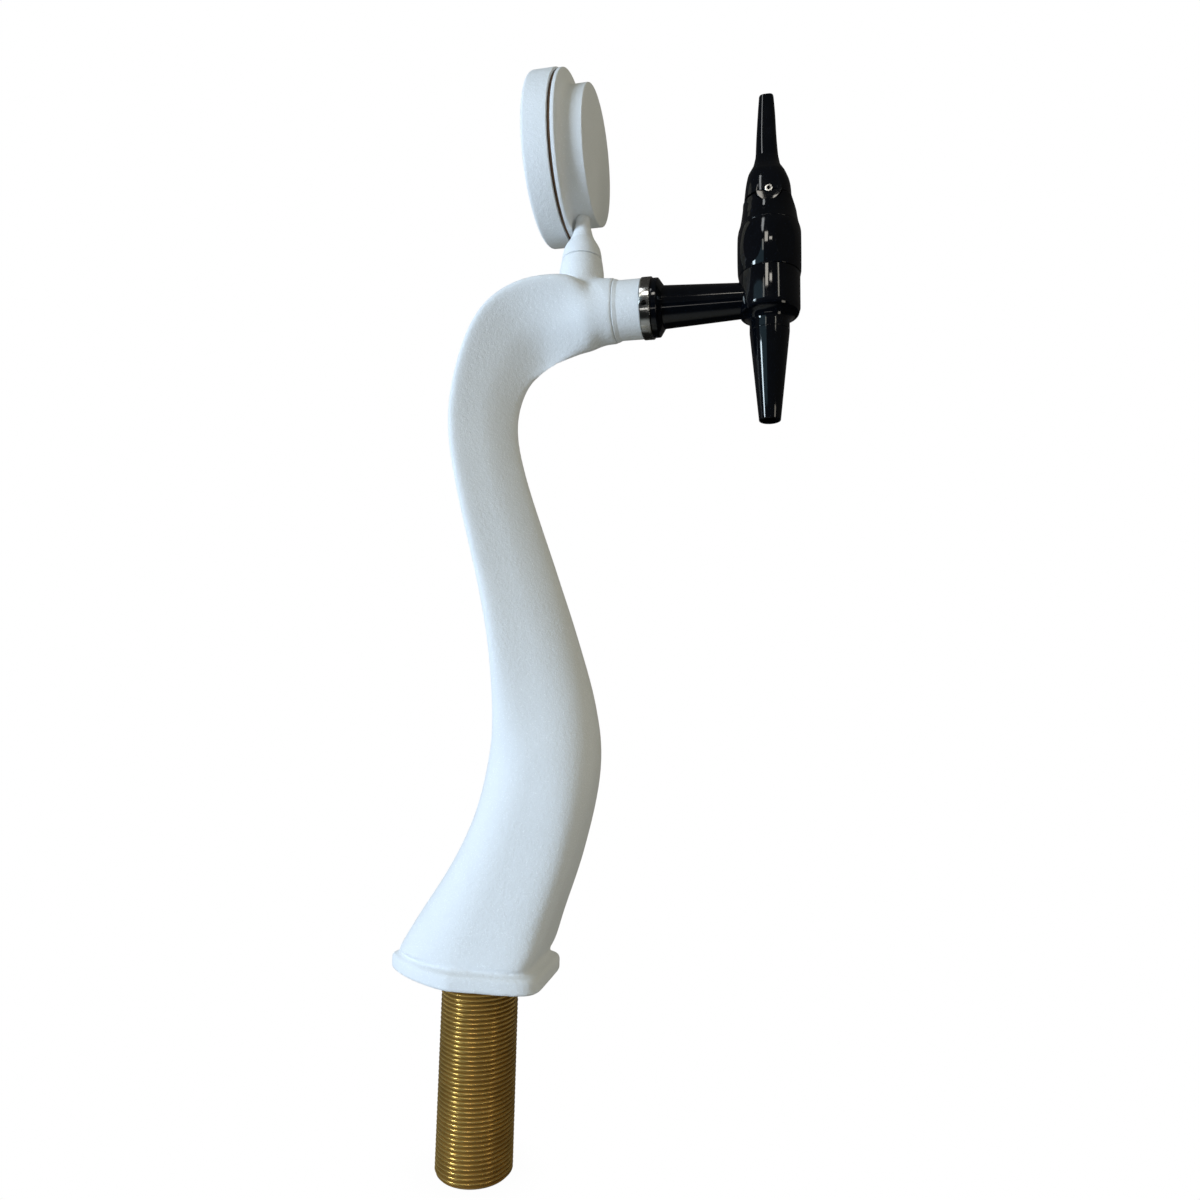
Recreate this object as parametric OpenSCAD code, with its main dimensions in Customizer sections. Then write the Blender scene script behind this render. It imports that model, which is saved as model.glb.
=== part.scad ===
// Swan-neck beer font: a cast, painted neck on a brass screwed stem, a round badge
// holder on a pillar, and a plunger tap with a cam lever. Millimetres, +Z up, the
// stem axis is the Z axis, the counter top is z = 0 and the tap points to +X.

/* [Stem] */
// Outside diameter of the screwed stem, a 1-1/4 inch pipe thread
stem_d = 41.91; // [36:0.01:48]
// Length of stem below the counter face
stem_len = 100; // [60:1:200]
// Bore of the stem
stem_bore = 32; // [26:0.5:34]
// Depth of the stem's collar in the casting
stem_seat = 22; // [16:1:26]

/* [Base flange] */
// Length of the base flange along X
flange_l = 93.3; // [88:0.1:104]
// Width of the base flange across its middle
flange_w = 63.5; // [62:0.5:80]
// Height of the rounded base flange
flange_h = 9; // [7:0.1:14]
// Offset of the flange's middle from the stem axis
flange_x = -6.7; // [-8:0.1:0]

/* [Neck] */
// Height of the outlet axis above the counter
outlet_z = 380.1; // [340:0.1:430]
// Distance from the stem axis to the end of the cast outlet
outlet_x = 69.5; // [64:0.1:80]
// Diameter of the cast outlet at its end
outlet_d = 36.8; // [35:0.1:42]
// Wall of the casting
wall = 5; // [3.5:0.5:7]
// Front to back depth of the neck at its foot
foot_depth = 82.3; // [76:0.1:88]
// Depth of the neck at its belly
belly_depth = 62; // [58:0.1:70]
// Depth of the neck at its waist
waist_depth = 36.4; // [35:0.1:46]
// Depth of the neck at its hood
hood_depth = 44.8; // [43:0.1:54]
// Width of the neck across the middle of its foot
foot_w = 54.5; // [54:0.5:62]
// Width across the middle of the belly section
belly_w = 53; // [48:0.5:60]
// Width across the middle of the waist section, which is wider at its back
waist_w = 32.6; // [31:0.1:38]
// Width across the middle of the hood section, which is wider at its rim
hood_w = 32; // [31:0.1:38]

/* [Outlet spigot] */
// Outside diameter of the spigot
spigot_d = 34; // [31:0.1:35]
// Length of spigot outside the casting
spigot_len = 16.1; // [12:0.1:24]
// Diameter of the thread that the tap's shank screws into
shank_d = 22.9; // [20:0.1:24]
// Depth of the spigot inside the casting
spigot_seat = 17.5; // [14:0.5:22]

/* [Lock ring] */
// Outside diameter of the lock ring
ring_d = 35.2; // [33:0.1:38]
// Width of the lock ring
ring_w = 6; // [4:0.1:9]
// Diameter of the spanner holes in the lock ring
ring_hole_d = 2.9; // [2:0.1:4]
// Number of spanner holes
ring_holes = 4; // [3:1:8]

/* [Tap] */
// Distance from the shank's collar to the tap's upright axis
arm_len = 66.4; // [58:0.1:80]
// Diameter of the shank's collar
collar_d = 33.4; // [30:0.1:36]
// Width of the shank's collar
collar_w = 6.3; // [5:0.1:9]
// Diameter of the arm beside the collar
arm_d1 = 24.4; // [20:0.1:25]
// Diameter of the arm where it meets the tap body
arm_d2 = 19.7; // [16:0.1:21]
// Diameter of the tap body
body_d = 34.3; // [33:0.1:38]
// Height from the outlet axis down to the bottom rim of the tap body
body_low = 8.3; // [6.5:0.1:9]
// Height from the outlet axis up to the bonnet's lower rim
body_high = 12.9; // [12.5:0.1:18]
// Bore of the valve chamber
chamber_d = 24; // [22:0.5:25]
// Diameter of the beer way through the shank and the valve seat
beer_way = 10; // [8:0.5:12]
// Height of the bonnet
bonnet_h = 28; // [26:0.5:34]
// Amount that the bonnet's barrel stands out past the tap body
bonnet_swell = 1.6; // [1.2:0.1:3]
// Number of finger flats round the bonnet
flats = 6; // [4:1:8]
// Depth of the finger flats
flat_depth = 1; // [0.4:0.1:1.2]
// Height of the cap above the bonnet
cap_h = 16.4; // [15:0.1:22]
// Amount that the cap's top is set in from the tap body
cap_inset = 2.3; // [2:0.1:3.5]

/* [Nozzle] */
// Length of the nozzle
nozzle_len = 51.5; // [40:0.5:70]
// Diameter of the nozzle at its top
nozzle_d1 = 22.3; // [21:0.1:24]
// Diameter of the nozzle at its mouth
nozzle_d2 = 12; // [11:0.1:14]
// Bore of the nozzle at its mouth
mouth_d = 9.2; // [7.5:0.1:9.6]

/* [Lever] */
// Height of the lever above the cap
lever_h = 64.7; // [56:0.1:80]
// Height of the pivot above the cap
pivot_h = 1.5; // [1:0.1:2.5]
// Diameter of the pivot pin
pin_d = 4.6; // [4:0.1:5]
// Diameter of the plunger's rod
rod_d = 9; // [8:0.1:10]

/* [Badge] */
// Distance from the stem axis to the pillar's axis
pillar_x = 47.8; // [44:0.1:52]
// Height of the cast pillar's top above the outlet axis
pillar_h = 33.6; // [30:0.1:40]
// Diameter of the pillar at its joint
pillar_d = 24.2; // [20:0.1:26]
// Height of the badge stem from its joint to the badge
badge_stem_h = 26.9; // [24:0.1:36]
// Diameter of the badge's bezel
bezel_d = 98.2; // [90:0.1:104]
// Width of the bezel
bezel_w = 15.5; // [13:0.1:20]
// Diameter of the drum at the badge's back
drum_d = 78.6; // [70:0.1:82]
// Depth of the badge from bezel front to drum back
badge_t = 33.7; // [28:0.1:38]
// Distance that the drum's back stands in front of the pillar's axis
drum_back = 7.8; // [6:0.1:8.5]

/* [Beer line] */
// Outside diameter of the beer line
line_d = 12.7; // [11:0.1:13]
// Bore of the beer line
line_bore = 9.5; // [8:0.1:10]

/* [Fits] */
// Clearance of pieces that are screwed or pressed together
fit = 0.05; // [0.02:0.01:0.2]
// Clearance of the plunger and the pivot pin
run = 0.05; // [0.02:0.01:0.1]
// Gap between moving faces
gap = 0.6; // [0.4:0.1:1]

/* [Hidden] */
$fn = 96;
white = "whitesmoke";
black = "#14161a";
eps = 0.01;

// Neck sections: depth, width, skew toward the front, squareness of the front and of the back
foot = [foot_depth, foot_w, 0.04, 7.5, 1.7];
shin = [belly_depth, belly_w, -0.09, 4.8, 2.2];
belly = [belly_depth, belly_w, -0.09, 3, 2.2];
waist = [waist_depth, waist_w, -0.6, 2.2, 7];
hood = [hood_depth, hood_w, -0.95, 1.9, 10];
nose = [outlet_d - 0.8, outlet_d + 3.3, -0.15, 1.8, 2.4];
tip = [outlet_d - 3, outlet_d - 2, 0, 2, 2];
foot_z = flange_h + 3;
// Neck path: share of the outlet's distance, share of its height above the foot, lean of
// the section in degrees, the two sections that are blended and the blend
path = [[-0.101, 0.000, 0, foot, shin, 0.00], [0.149, 0.083, -20, foot, shin, 0.72],
        [0.359, 0.181, -20, foot, shin, 0.98], [0.481, 0.288, -8, belly, waist, 0.00],
        [0.481, 0.365, 6, belly, waist, 0.25], [0.391, 0.461, 13, belly, waist, 0.57],
        [0.248, 0.561, 16, belly, waist, 0.79], [-0.016, 0.722, 15, belly, waist, 0.98],
        [-0.105, 0.816, 4, belly, waist, 1.00], [-0.035, 0.892, -16, waist, hood, 0.28],
        [0.146, 0.946, -39, waist, hood, 1.00], [0.344, 0.972, -67, hood, nose, 0.00],
        [0.613, 0.985, -84, hood, nose, 0.42], [0.797, 0.988, -90, hood, nose, 1.00],
        [0.885, 0.997, -90, nose, tip, 1.00]];
// Outlet boss inside the hood: share of the outlet's distance, drop below the outlet axis,
// lean of the round section and its radius as a share of the outlet's
boss_way = [[0.30, 16.0, -52, 0.35], [0.38, 11.0, -60, 0.66], [0.48, 6.5, -70, 0.86],
            [0.60, 2.8, -80, 0.99], [0.74, 0.6, -88, 1.05], [0.87, 0.0, -90, 1.05],
            [1.00, 0.0, -90, 1.00]];
seat_d = stem_d + 1;
neck_sides = 40;
cavity_sides = 20;
line_sides = 12;

// Places along the outlet axis
spigot_end = outlet_x + spigot_len;
spigot_root = outlet_x - spigot_seat;
ring_x = spigot_end;
collar_x = ring_x + ring_w;
tap_x = collar_x + arm_len;
shank_gap = 0.5;
shank_tip = outlet_x + shank_gap;
seal_w = 2;
tail_flange_w = 2.5;
tail_len = 25;
spigot_step = shank_tip - seal_w - tail_flange_w;
bed_step = 4;
spigot_bed_d = outlet_d - 2 * bed_step;
way_margin = 1;
tail_way_d = 2 * line_d - 1;

// Heights and widths of the tap
bonnet_d = body_d + 2 * bonnet_swell;
cap_top_d = body_d - 2 * cap_inset;
body_z0 = outlet_z - body_low;
waist_h = 11.8;
seam_z = body_z0 - waist_h;
waist_r = 6;
waist_z = seam_z + 4.3;
bonnet_z = outlet_z + body_high;
bonnet_top = bonnet_z + bonnet_h;
cap_top = bonnet_top + cap_h;
pivot_z = cap_top + pivot_h;
nozzle_z = seam_z - nozzle_len;
seat_z = body_z0 + 0.4;
nozzle_seat = 8;
nozzle_tail_d = nozzle_d1 - 5.6;
neck_h = 14;
neck_d = body_d - 6;
neck_clear = 0.3;
pocket_d = rod_d + 7.4;
pocket_h = 21;
pocket_top = bonnet_z + pocket_h;
cap_tail_z = bonnet_z - 1;
spring_z0 = seat_z + 12;
wire_d = 1.6;
coil_r = rod_d / 2 + 1.9;
seal_h = 4;
seal_stub_d = 4;
seal_stub_h = 2.5;
rod_ring_d = 1.6;
rod_ring_z = pocket_top + 8;
cap_ring_d = 2;
cap_ring_z = bonnet_z + 6;
ear_r = 7.2;
ear_y0 = 10.5;
ear_y1 = 13.4;
pin_half = 14;

// Places of the badge
pillar_z = outlet_z + pillar_h;
badge_z = pillar_z + badge_stem_h + drum_d / 2;
drum_x1 = pillar_x + drum_back;
bezel_x0 = drum_x1 - badge_t;
bezel_x1 = bezel_x0 + bezel_w;
gasket_w = 1.9;
rim_x1 = bezel_x1 + gasket_w + 2.6;
bezel_bore = bezel_d - 5.4;
lens_x = bezel_x0 + 3;
lens_t = 3;
disc_t = 1.5;
stem_tip = 5;
stem_tip_d = 8.6;
stud_d = 8;
stud_len = 25;
stud_clear = 0.3;

function mix(a, b, t) = a + (b - a) * t;
function power(v, e) = sign(v) * pow(abs(v), 2 / e);
function spline(p, i, t) =
    let (n = len(p) - 1, a = p[max(i - 1, 0)], b = p[i], c = p[i + 1], d = p[min(i + 2, n)])
    (2 * b + (c - a) * t + (2 * a - 5 * b + 4 * c - d) * t * t + (3 * b - a - 3 * c + d) * t * t * t) / 2;

// One egg-shaped section as a closed ring of points
function ring(x, z, lean, depth, width, skew, front, back, sides) =
    [for (i = [0 : sides - 1])
        let (t = 360 * i / sides, e = cos(t) > 0 ? front : back, u = power(cos(t), e), v = power(sin(t), e))
        [x + depth / 2 * u * cos(lean), width / 2 * v * (1 + skew * u), z + depth / 2 * u * sin(lean)]];

// Neck stations: x, z, lean, depth, width, skew and the two squarenesses
stations = [for (p = path)
    concat([p[0] * outlet_x, mix(foot_z, outlet_z, p[1]), p[2]], mix(p[3], p[4], p[5]))];
function station_ring(s, inset, sides) =
    ring(s[0], s[1], s[2], s[3] - 2 * inset, s[4] - 2 * inset, s[5], s[6], s[7], sides);
function neck_rings(first, last, steps, inset, sides) =
    [for (i = [first : last - 1], k = [0 : steps - 1])
        station_ring(spline(stations, i, k / steps), inset, sides)];

// Rounded rim of the base flange: inset and height of each ring
rim_low = 1.2;
rim_high = 2.6;
flange_rim = concat(
    [for (a = [0 : 30 : 90]) [rim_low * (1 - sin(a)), rim_low * (1 - cos(a))]],
    [for (a = [0 : 22.5 : 90]) [rim_high * (1 - cos(a)), flange_h - rim_high * (1 - sin(a))]],
    [[rim_high + 1.8, flange_h + 0.5]]);
function flange_ring(inset, z, sides) =
    ring(flange_x, z, 0, flange_l - 2 * inset, flange_w - 2 * inset, -0.07, 7, 1.27, sides);

// A solid through a stack of rings that have the same number of points
module loft(rings) {
    sides = len(rings[0]);
    count = len(rings);
    points = [for (r = rings, p = r) p];
    walls = [for (j = [0 : count - 2], i = [0 : sides - 1], half = [0, 1])
        let (a = j * sides + i, b = j * sides + (i + 1) % sides)
        half == 0 ? [a, a + sides, b] : [b, a + sides, b + sides]];
    ends = [[for (i = [0 : sides - 1]) i], [for (i = [sides - 1 : -1 : 0]) (count - 1) * sides + i]];
    polyhedron(points, concat(walls, ends));
}

// Turns a profile of [radius, x] points round the outlet axis, or round another level axis
module turn_x(profile, z = outlet_z) {
    translate([0, 0, z])
        rotate([90, 0, 90])
            rotate_extrude()
                polygon(profile);
}

// Turns a profile of [radius, z] points round an upright axis
module turn_z(profile, x) {
    translate([x, 0, 0])
        rotate_extrude()
            polygon(profile);
}

// A level hole or rod along X
module bar_x(d, x0, x1, z = outlet_z) {
    translate([x0, 0, z])
        rotate([0, 90, 0])
            cylinder(d = d, h = x1 - x0);
}

// A level hole or rod along Y
module bar_y(d, x, z, y0, y1) {
    translate([x, y1, z])
        rotate([90, 0, 0])
            cylinder(d = d, h = y1 - y0);
}

// An upright hole or rod
module bar_z(d, x, z0, z1) {
    translate([x, 0, z0])
        cylinder(d = d, h = z1 - z0);
}

module font_body() {
    last = len(path) - 1;
    outer = concat(
        [for (f = flange_rim) flange_ring(f[0], f[1], neck_sides)],
        neck_rings(0, last, 3, 0, neck_sides),
        [station_ring(stations[last], 0, neck_sides)]);
    inner = concat(
        neck_rings(1, last - 2, 2, wall, cavity_sides),
        [station_ring(stations[last - 2], wall, cavity_sides)]);
    boss_r = outlet_d / 2;
    boss = [for (b = boss_way)
        ring(b[0] * outlet_x, outlet_z - b[1], b[2], 2 * b[3] * boss_r, 2 * b[3] * boss_r, 0, 2, 2, neck_sides)];
    pillar_foot = outlet_z + boss_r - wall;
    pillar_r = pillar_d / 2;
    flare = 1.2;
    color(white)
        difference() {
            union() {
                loft(outer);
                loft(boss);
                turn_z([[0, pillar_foot], [pillar_r + flare + 0.4, pillar_foot],
                        [pillar_r + flare, pillar_z - 8], [pillar_r, pillar_z], [0, pillar_z]],
                       pillar_x);
            }
            loft(inner);
            bar_z(seat_d + 2 * fit, 0, -1, stem_seat);
            bar_z(stem_bore, 0, stem_seat - eps, stations[1][1] + 6);
            bar_x(tail_way_d, spigot_root - 16, spigot_root + 1);
            bar_x(spigot_bed_d + 2 * fit, spigot_root, outlet_x + 1);
            bar_z(stud_d + 2 * fit, pillar_x, pillar_z - stud_len / 2, pillar_z + 1);
        }
}

module threaded_stem() {
    lead = 1.5;
    color("darkgoldenrod")
        turn_z([[stem_bore / 2, -stem_len], [stem_d / 2 - lead, -stem_len], [stem_d / 2, lead - stem_len],
                [stem_d / 2, 0], [seat_d / 2, 0], [seat_d / 2, stem_seat], [stem_bore / 2, stem_seat]], 0);
}

module outlet_spigot() {
    shoulder_w = 2.8;
    way_r = line_d / 2 + way_margin;
    bed_r = spigot_bed_d / 2;
    thread_r = shank_d / 2 + fit;
    color(white)
        turn_x([[way_r, spigot_root], [bed_r, spigot_root], [bed_r, outlet_x],
                [outlet_d / 2, outlet_x], [spigot_d / 2, outlet_x + shoulder_w], [spigot_d / 2, spigot_end],
                [thread_r, spigot_end], [thread_r, spigot_step], [way_r, spigot_step]]);
}

// Barbed tail that the beer line is pushed onto
module hose_tail() {
    barb_r = line_bore / 2 - fit;
    way_r = barb_r - 1.4;
    tip = spigot_step - tail_len;
    barb = 6;
    barbs = 3;
    root_r = barb_r - 0.5;
    flange_r = shank_d / 2 - fit;
    color("silver")
        turn_x(concat(
            [[way_r, tip]],
            [for (i = [0 : barbs - 1], k = [0, 1]) [k == 0 ? root_r : barb_r, tip + (i + k * 0.9) * barb]],
            [[root_r, tip + barbs * barb], [root_r, spigot_step],
             [flange_r, spigot_step], [flange_r, spigot_step + tail_flange_w],
             [way_r, spigot_step + tail_flange_w]]));
}

module shank_seal() {
    color("dimgray")
        turn_x([[beer_way / 2, shank_tip - seal_w], [shank_d / 2 - fit, shank_tip - seal_w],
                [shank_d / 2 - fit, shank_tip], [beer_way / 2, shank_tip]]);
}

// Beer line from the hose tail down the neck to the foot of the stem
line_route = concat(
    [[spigot_step - 3, outlet_z], [spigot_step - tail_len - 2, outlet_z]],
    [for (i = [11 : -1 : 1]) [stations[i][0], stations[i][1]]],
    [[0, stem_seat / 2], [0, -stem_len / 3], [0, 5 - stem_len]]);
function route_dir(i) =
    let (n = len(line_route) - 1, d = line_route[min(i + 1, n)] - line_route[max(i - 1, 0)])
    i == 0 ? [-1, 0] : (i == n ? [0, -1] : d / norm(d));
function line_rings(r) =
    [for (i = [0 : len(line_route) - 1])
        let (c = line_route[i], d = route_dir(i))
        [for (k = [0 : line_sides - 1])
            let (a = 360 * k / line_sides)
            [c[0] - d[1] * r * cos(a), r * sin(a), c[1] + d[0] * r * cos(a)]]];
module beer_line() {
    sides = line_sides;
    rings = len(line_route);
    outer = line_rings(line_d / 2);
    inner = line_rings(line_bore / 2 / cos(180 / sides));
    points = [for (s = [outer, inner], r = s, p = r) p];
    skin = [for (j = [0 : rings - 2], i = [0 : sides - 1])
        let (a = j * sides + i, b = j * sides + (i + 1) % sides, m = rings * sides)
        each [[a, b, a + sides], [b, b + sides, a + sides],
              [a + m, a + m + sides, b + m], [b + m, a + m + sides, b + m + sides]]];
    rims = [for (j = [0, rings - 1], i = [0 : sides - 1])
        let (a = j * sides + i, b = j * sides + (i + 1) % sides, m = rings * sides)
        each j == 0 ? [[a, a + m, b], [b, a + m, b + m]] : [[a, b, a + m], [b, b + m, a + m]]];
    color("lightgray")
        polyhedron(points, concat(skin, rims));
}

module lock_ring() {
    bevel = 0.5;
    hole_turn = 15;
    r = ring_d / 2;
    thread_r = shank_d / 2 + fit;
    color("silver")
        difference() {
            turn_x([[thread_r, ring_x], [r - bevel, ring_x], [r, ring_x + bevel],
                    [r, collar_x - bevel], [r - bevel, collar_x], [thread_r, collar_x]]);
            translate([ring_x + ring_w / 2, 0, outlet_z])
                for (i = [0 : ring_holes - 1])
                    rotate([90 + hole_turn + 360 * i / ring_holes, 0, 0])
                        cylinder(d = ring_hole_d, h = ring_d);
        }
}

module tap_body() {
    rim = 1.2;
    tail_r = nozzle_tail_d / 2;
    collar_bevel = 2.8;
    collar_end = collar_x + collar_w;
    arm_end = tap_x - body_d / 2 + 3;
    color(black)
        difference() {
            union() {
                difference() {
                    turn_z([[0, seam_z - nozzle_seat], [tail_r, seam_z - nozzle_seat], [tail_r, seam_z],
                            [nozzle_d1 / 2, seam_z], [nozzle_d1 / 2, waist_z],
                            [nozzle_d1 / 2 + 4.6, body_z0 - 3],
                            [body_d / 2 - rim / 2, body_z0 - 0.6], [body_d / 2, body_z0 + rim],
                            [body_d / 2, bonnet_z], [neck_d / 2, bonnet_z],
                            [neck_d / 2, bonnet_z + neck_h], [0, bonnet_z + neck_h]], tap_x);
                    waist_fillet();
                }
                turn_x([[0, shank_tip], [shank_d / 2, shank_tip], [shank_d / 2, collar_x],
                        [collar_d / 2, collar_x], [collar_d / 2, collar_end - collar_bevel],
                        [arm_d1 / 2 + 0.4, collar_end], [arm_d1 / 2, collar_end],
                        [arm_d2 / 2, arm_end], [0, arm_end]]);
            }
            bar_x(beer_way, shank_tip - 1, tap_x);
            bar_z(beer_way + 1, tap_x, seam_z - nozzle_seat - 1, seat_z + 1);
            bar_z(chamber_d, tap_x, seat_z, bonnet_z + neck_h + 1);
        }
}

// Hollow sweep under the rim of the tap body, above the nozzle's seam
module waist_fillet() {
    translate([tap_x, 0, waist_z])
        rotate_extrude()
            translate([nozzle_d1 / 2 + waist_r, 0])
                circle(r = waist_r);
}

module nozzle() {
    seat_r = nozzle_tail_d / 2 + fit;
    color(black)
        turn_z([[mouth_d / 2, nozzle_z], [nozzle_d2 / 2, nozzle_z], [nozzle_d1 / 2, seam_z],
                [seat_r, seam_z], [seat_r, seam_z - nozzle_seat],
                [beer_way / 2 + 0.5, seam_z - nozzle_seat]], tap_x);
}

// Barrel-shaped bonnet with flats for the fingers
module bonnet() {
    rise = 1.4;
    mid = bonnet_z + bonnet_h / 2;
    curve_r = (bonnet_h * bonnet_h / 4 + rise * rise) / (2 * rise);
    color(black)
        difference() {
            turn_z(concat(
                [[chamber_d / 2, bonnet_top], [chamber_d / 2, bonnet_z + neck_h + neck_clear],
                 [neck_d / 2 + fit, bonnet_z + neck_h + neck_clear], [neck_d / 2 + fit, bonnet_z]],
                [for (k = [-8 : 8])
                    let (h = k / 16 * bonnet_h)
                    [bonnet_d / 2 - curve_r + sqrt(curve_r * curve_r - h * h), mid + h]]), tap_x);
            for (i = [0 : flats - 1])
                translate([tap_x, 0, mid])
                    rotate(360 * i / flats)
                        translate([bonnet_d / 2 - flat_depth + 5, 0, 0])
                            cube([10, bonnet_d, 2 * bonnet_h], center = true);
        }
}

// Cap that guides the plunger and carries the lever's ears
module bonnet_cap() {
    foot_r = bonnet_d / 2 - 1.5;
    top_r = cap_top_d / 2;
    front = 2.6;
    color(black)
        difference() {
            turn_z([[0, cap_tail_z], [chamber_d / 2 - fit, cap_tail_z], [chamber_d / 2 - fit, bonnet_top],
                    [foot_r, bonnet_top], [foot_r - 0.8, bonnet_top + 3], [top_r + 0.9, bonnet_top + 7],
                    [top_r + 0.1, bonnet_top + 13], [top_r, cap_top], [0, cap_top]], tap_x);
            bar_z(pocket_d, tap_x, cap_tail_z - 1, pocket_top);
            bar_z(rod_d + 2 * run, tap_x, pocket_top - 1, cap_top + 1);
            translate([tap_x, 0, rod_ring_z - rod_ring_d / 2])
                cylinder(d = rod_d + 2 * rod_ring_d + 0.2, h = rod_ring_d);
            translate([tap_x, 0, cap_ring_z])
                rotate_extrude()
                    translate([chamber_d / 2 - cap_ring_d / 2, 0])
                        square([cap_ring_d, cap_ring_d], center = true);
            for (turn = [0, 180])
                translate([tap_x, 0, 0])
                    rotate(turn)
                        bar_y(2 * (ear_r + gap), 0, pivot_z, ear_y0 - gap, foot_r);
            translate([tap_x, 0, pivot_z])
                cube([pin_d + 1.2, 2 * foot_r, pin_d + 2 * gap], center = true);
            translate([tap_x + top_r - front, -foot_r, cap_top])
                rotate([0, 67, 0])
                    cube([20, 2 * foot_r, 10]);
        }
}

module cap_o_ring() {
    color("#202020")
        translate([tap_x, 0, cap_ring_z])
            rotate_extrude()
                translate([chamber_d / 2 - cap_ring_d / 2 - fit, 0])
                    circle(d = cap_ring_d - 2 * fit);
}

module rod_o_ring() {
    color("#202020")
        translate([tap_x, 0, rod_ring_z])
            rotate_extrude()
                translate([rod_d / 2 + rod_ring_d / 2 + run, 0])
                    circle(d = rod_ring_d - 2 * fit);
}

module plunger() {
    collar = 3;
    color("silver")
        difference() {
            union() {
                bar_z(rod_d, tap_x, seat_z + seal_h, pivot_z + rod_d / 2 + 1);
                bar_z(2 * coil_r + wire_d + 0.4, tap_x, spring_z0 - collar, spring_z0);
            }
            bar_y(pin_d + 2 * run, tap_x, pivot_z, -rod_d, rod_d);
            bar_z(seal_stub_d + 2 * fit, tap_x, seat_z, seat_z + seal_h + seal_stub_h + 0.5);
        }
}

module plunger_seal() {
    low = seat_z + fit;
    high = seat_z + seal_h;
    stub_top = high + seal_stub_h;
    color("#2a2a2a")
        turn_z([[0, low], [beer_way / 2 + 2.4, low], [beer_way / 2 + 3, low + 1], [rod_d / 2, high],
                [seal_stub_d / 2, high], [seal_stub_d / 2, stub_top], [0, stub_top]], tap_x);
}

// Coil spring that holds the plunger down on its seat
module return_spring() {
    sides = 8;
    turns = 6;
    steps = 14;
    low = spring_z0 + wire_d / 2 + fit;
    high = pocket_top - wire_d / 2 - fit;
    rings = [for (j = [0 : turns * steps])
        let (a = 360 * j / steps, z = mix(low, high, j / (turns * steps)))
        [for (i = [0 : sides - 1])
            let (b = 360 * i / sides, r = coil_r + wire_d / 2 * cos(b))
            [tap_x + r * cos(a), r * sin(a), z + wire_d / 2 * sin(b)]]];
    color("lightsteelblue")
        loft(rings);
}

module pivot_pin() {
    color("silver")
        difference() {
            bar_y(pin_d, tap_x, pivot_z, -pin_half, pin_half);
            bar_y(pin_d / 2, tap_x, pivot_z, -pin_half - 1, pin_half + 1);
        }
}

// Lever sections: share of the height, back and front distance from the pivot, half width
lever_shape = [[0.000, 14.2, 12.8, 14.2], [0.130, 13.3, 12.1, 13.7], [0.220, 12.2, 10.2, 12.4],
               [0.265, 11.0, 8.8, 11.0], [0.320, 9.2, 6.8, 9.4], [0.385, 8.2, 5.9, 8.0],
               [0.440, 7.6, 5.3, 7.4], [0.620, 7.1, 4.4, 7.2], [0.840, 6.3, 3.7, 6.8],
               [1.000, 5.6, 2.9, 6.4]];
module lever() {
    sides = 36;
    base = cap_top + gap;
    top = cap_top + lever_h;
    slot_y = rod_d / 2 + 0.3;
    slot_x = rod_d / 2 + 4;
    function section(s) =
        ring(tap_x + (s[2] - s[1]) / 2, mix(base, top, s[0]), 0, s[1] + s[2], 2 * s[3], 0, 2.4, 2.4, sides);
    rings = concat(
        [for (i = [0 : len(lever_shape) - 2], k = [0, 1]) section(spline(lever_shape, i, k / 2))],
        [section(lever_shape[len(lever_shape) - 1])]);
    color(black)
        difference() {
            union() {
                loft(rings);
                for (turn = [0, 180])
                    translate([tap_x, 0, 0])
                        rotate(turn)
                            bar_y(2 * ear_r, 0, pivot_z, ear_y0, ear_y1);
            }
            bar_y(pin_d + 2 * run, tap_x, pivot_z, -20, 20);
            translate([tap_x - slot_x, -slot_y, base - 10])
                cube([2 * slot_x, 2 * slot_y, 10 + pivot_h + slot_x]);
        }
}

// Turned upper half of the badge's pillar
module badge_stem() {
    r = pillar_d / 2;
    top = pillar_z + badge_stem_h;
    color(white)
        difference() {
            turn_z([[0, pillar_z], [r, pillar_z], [r - 0.5, pillar_z + 3.3], [r - 1.4, pillar_z + 6.9],
                    [r - 2.9, pillar_z + 9.7], [r - 4.7, pillar_z + 12.7], [r - 5, pillar_z + 13.4],
                    [r - 5.8, pillar_z + 15.3], [r - 6.5, pillar_z + 17.8], [r - 7.2, pillar_z + 20.6],
                    [stem_tip_d / 2, top - 3], [stem_tip_d / 2, top + stem_tip], [0, top + stem_tip]],
                   pillar_x);
            bar_z(stud_d + 2 * fit, pillar_x, pillar_z - 1, pillar_z + stud_len / 2);
        }
}

module badge_stud() {
    color("silver")
        bar_z(stud_d, pillar_x, pillar_z - stud_len / 2 + stud_clear, pillar_z + stud_len / 2 - stud_clear);
}

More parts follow.
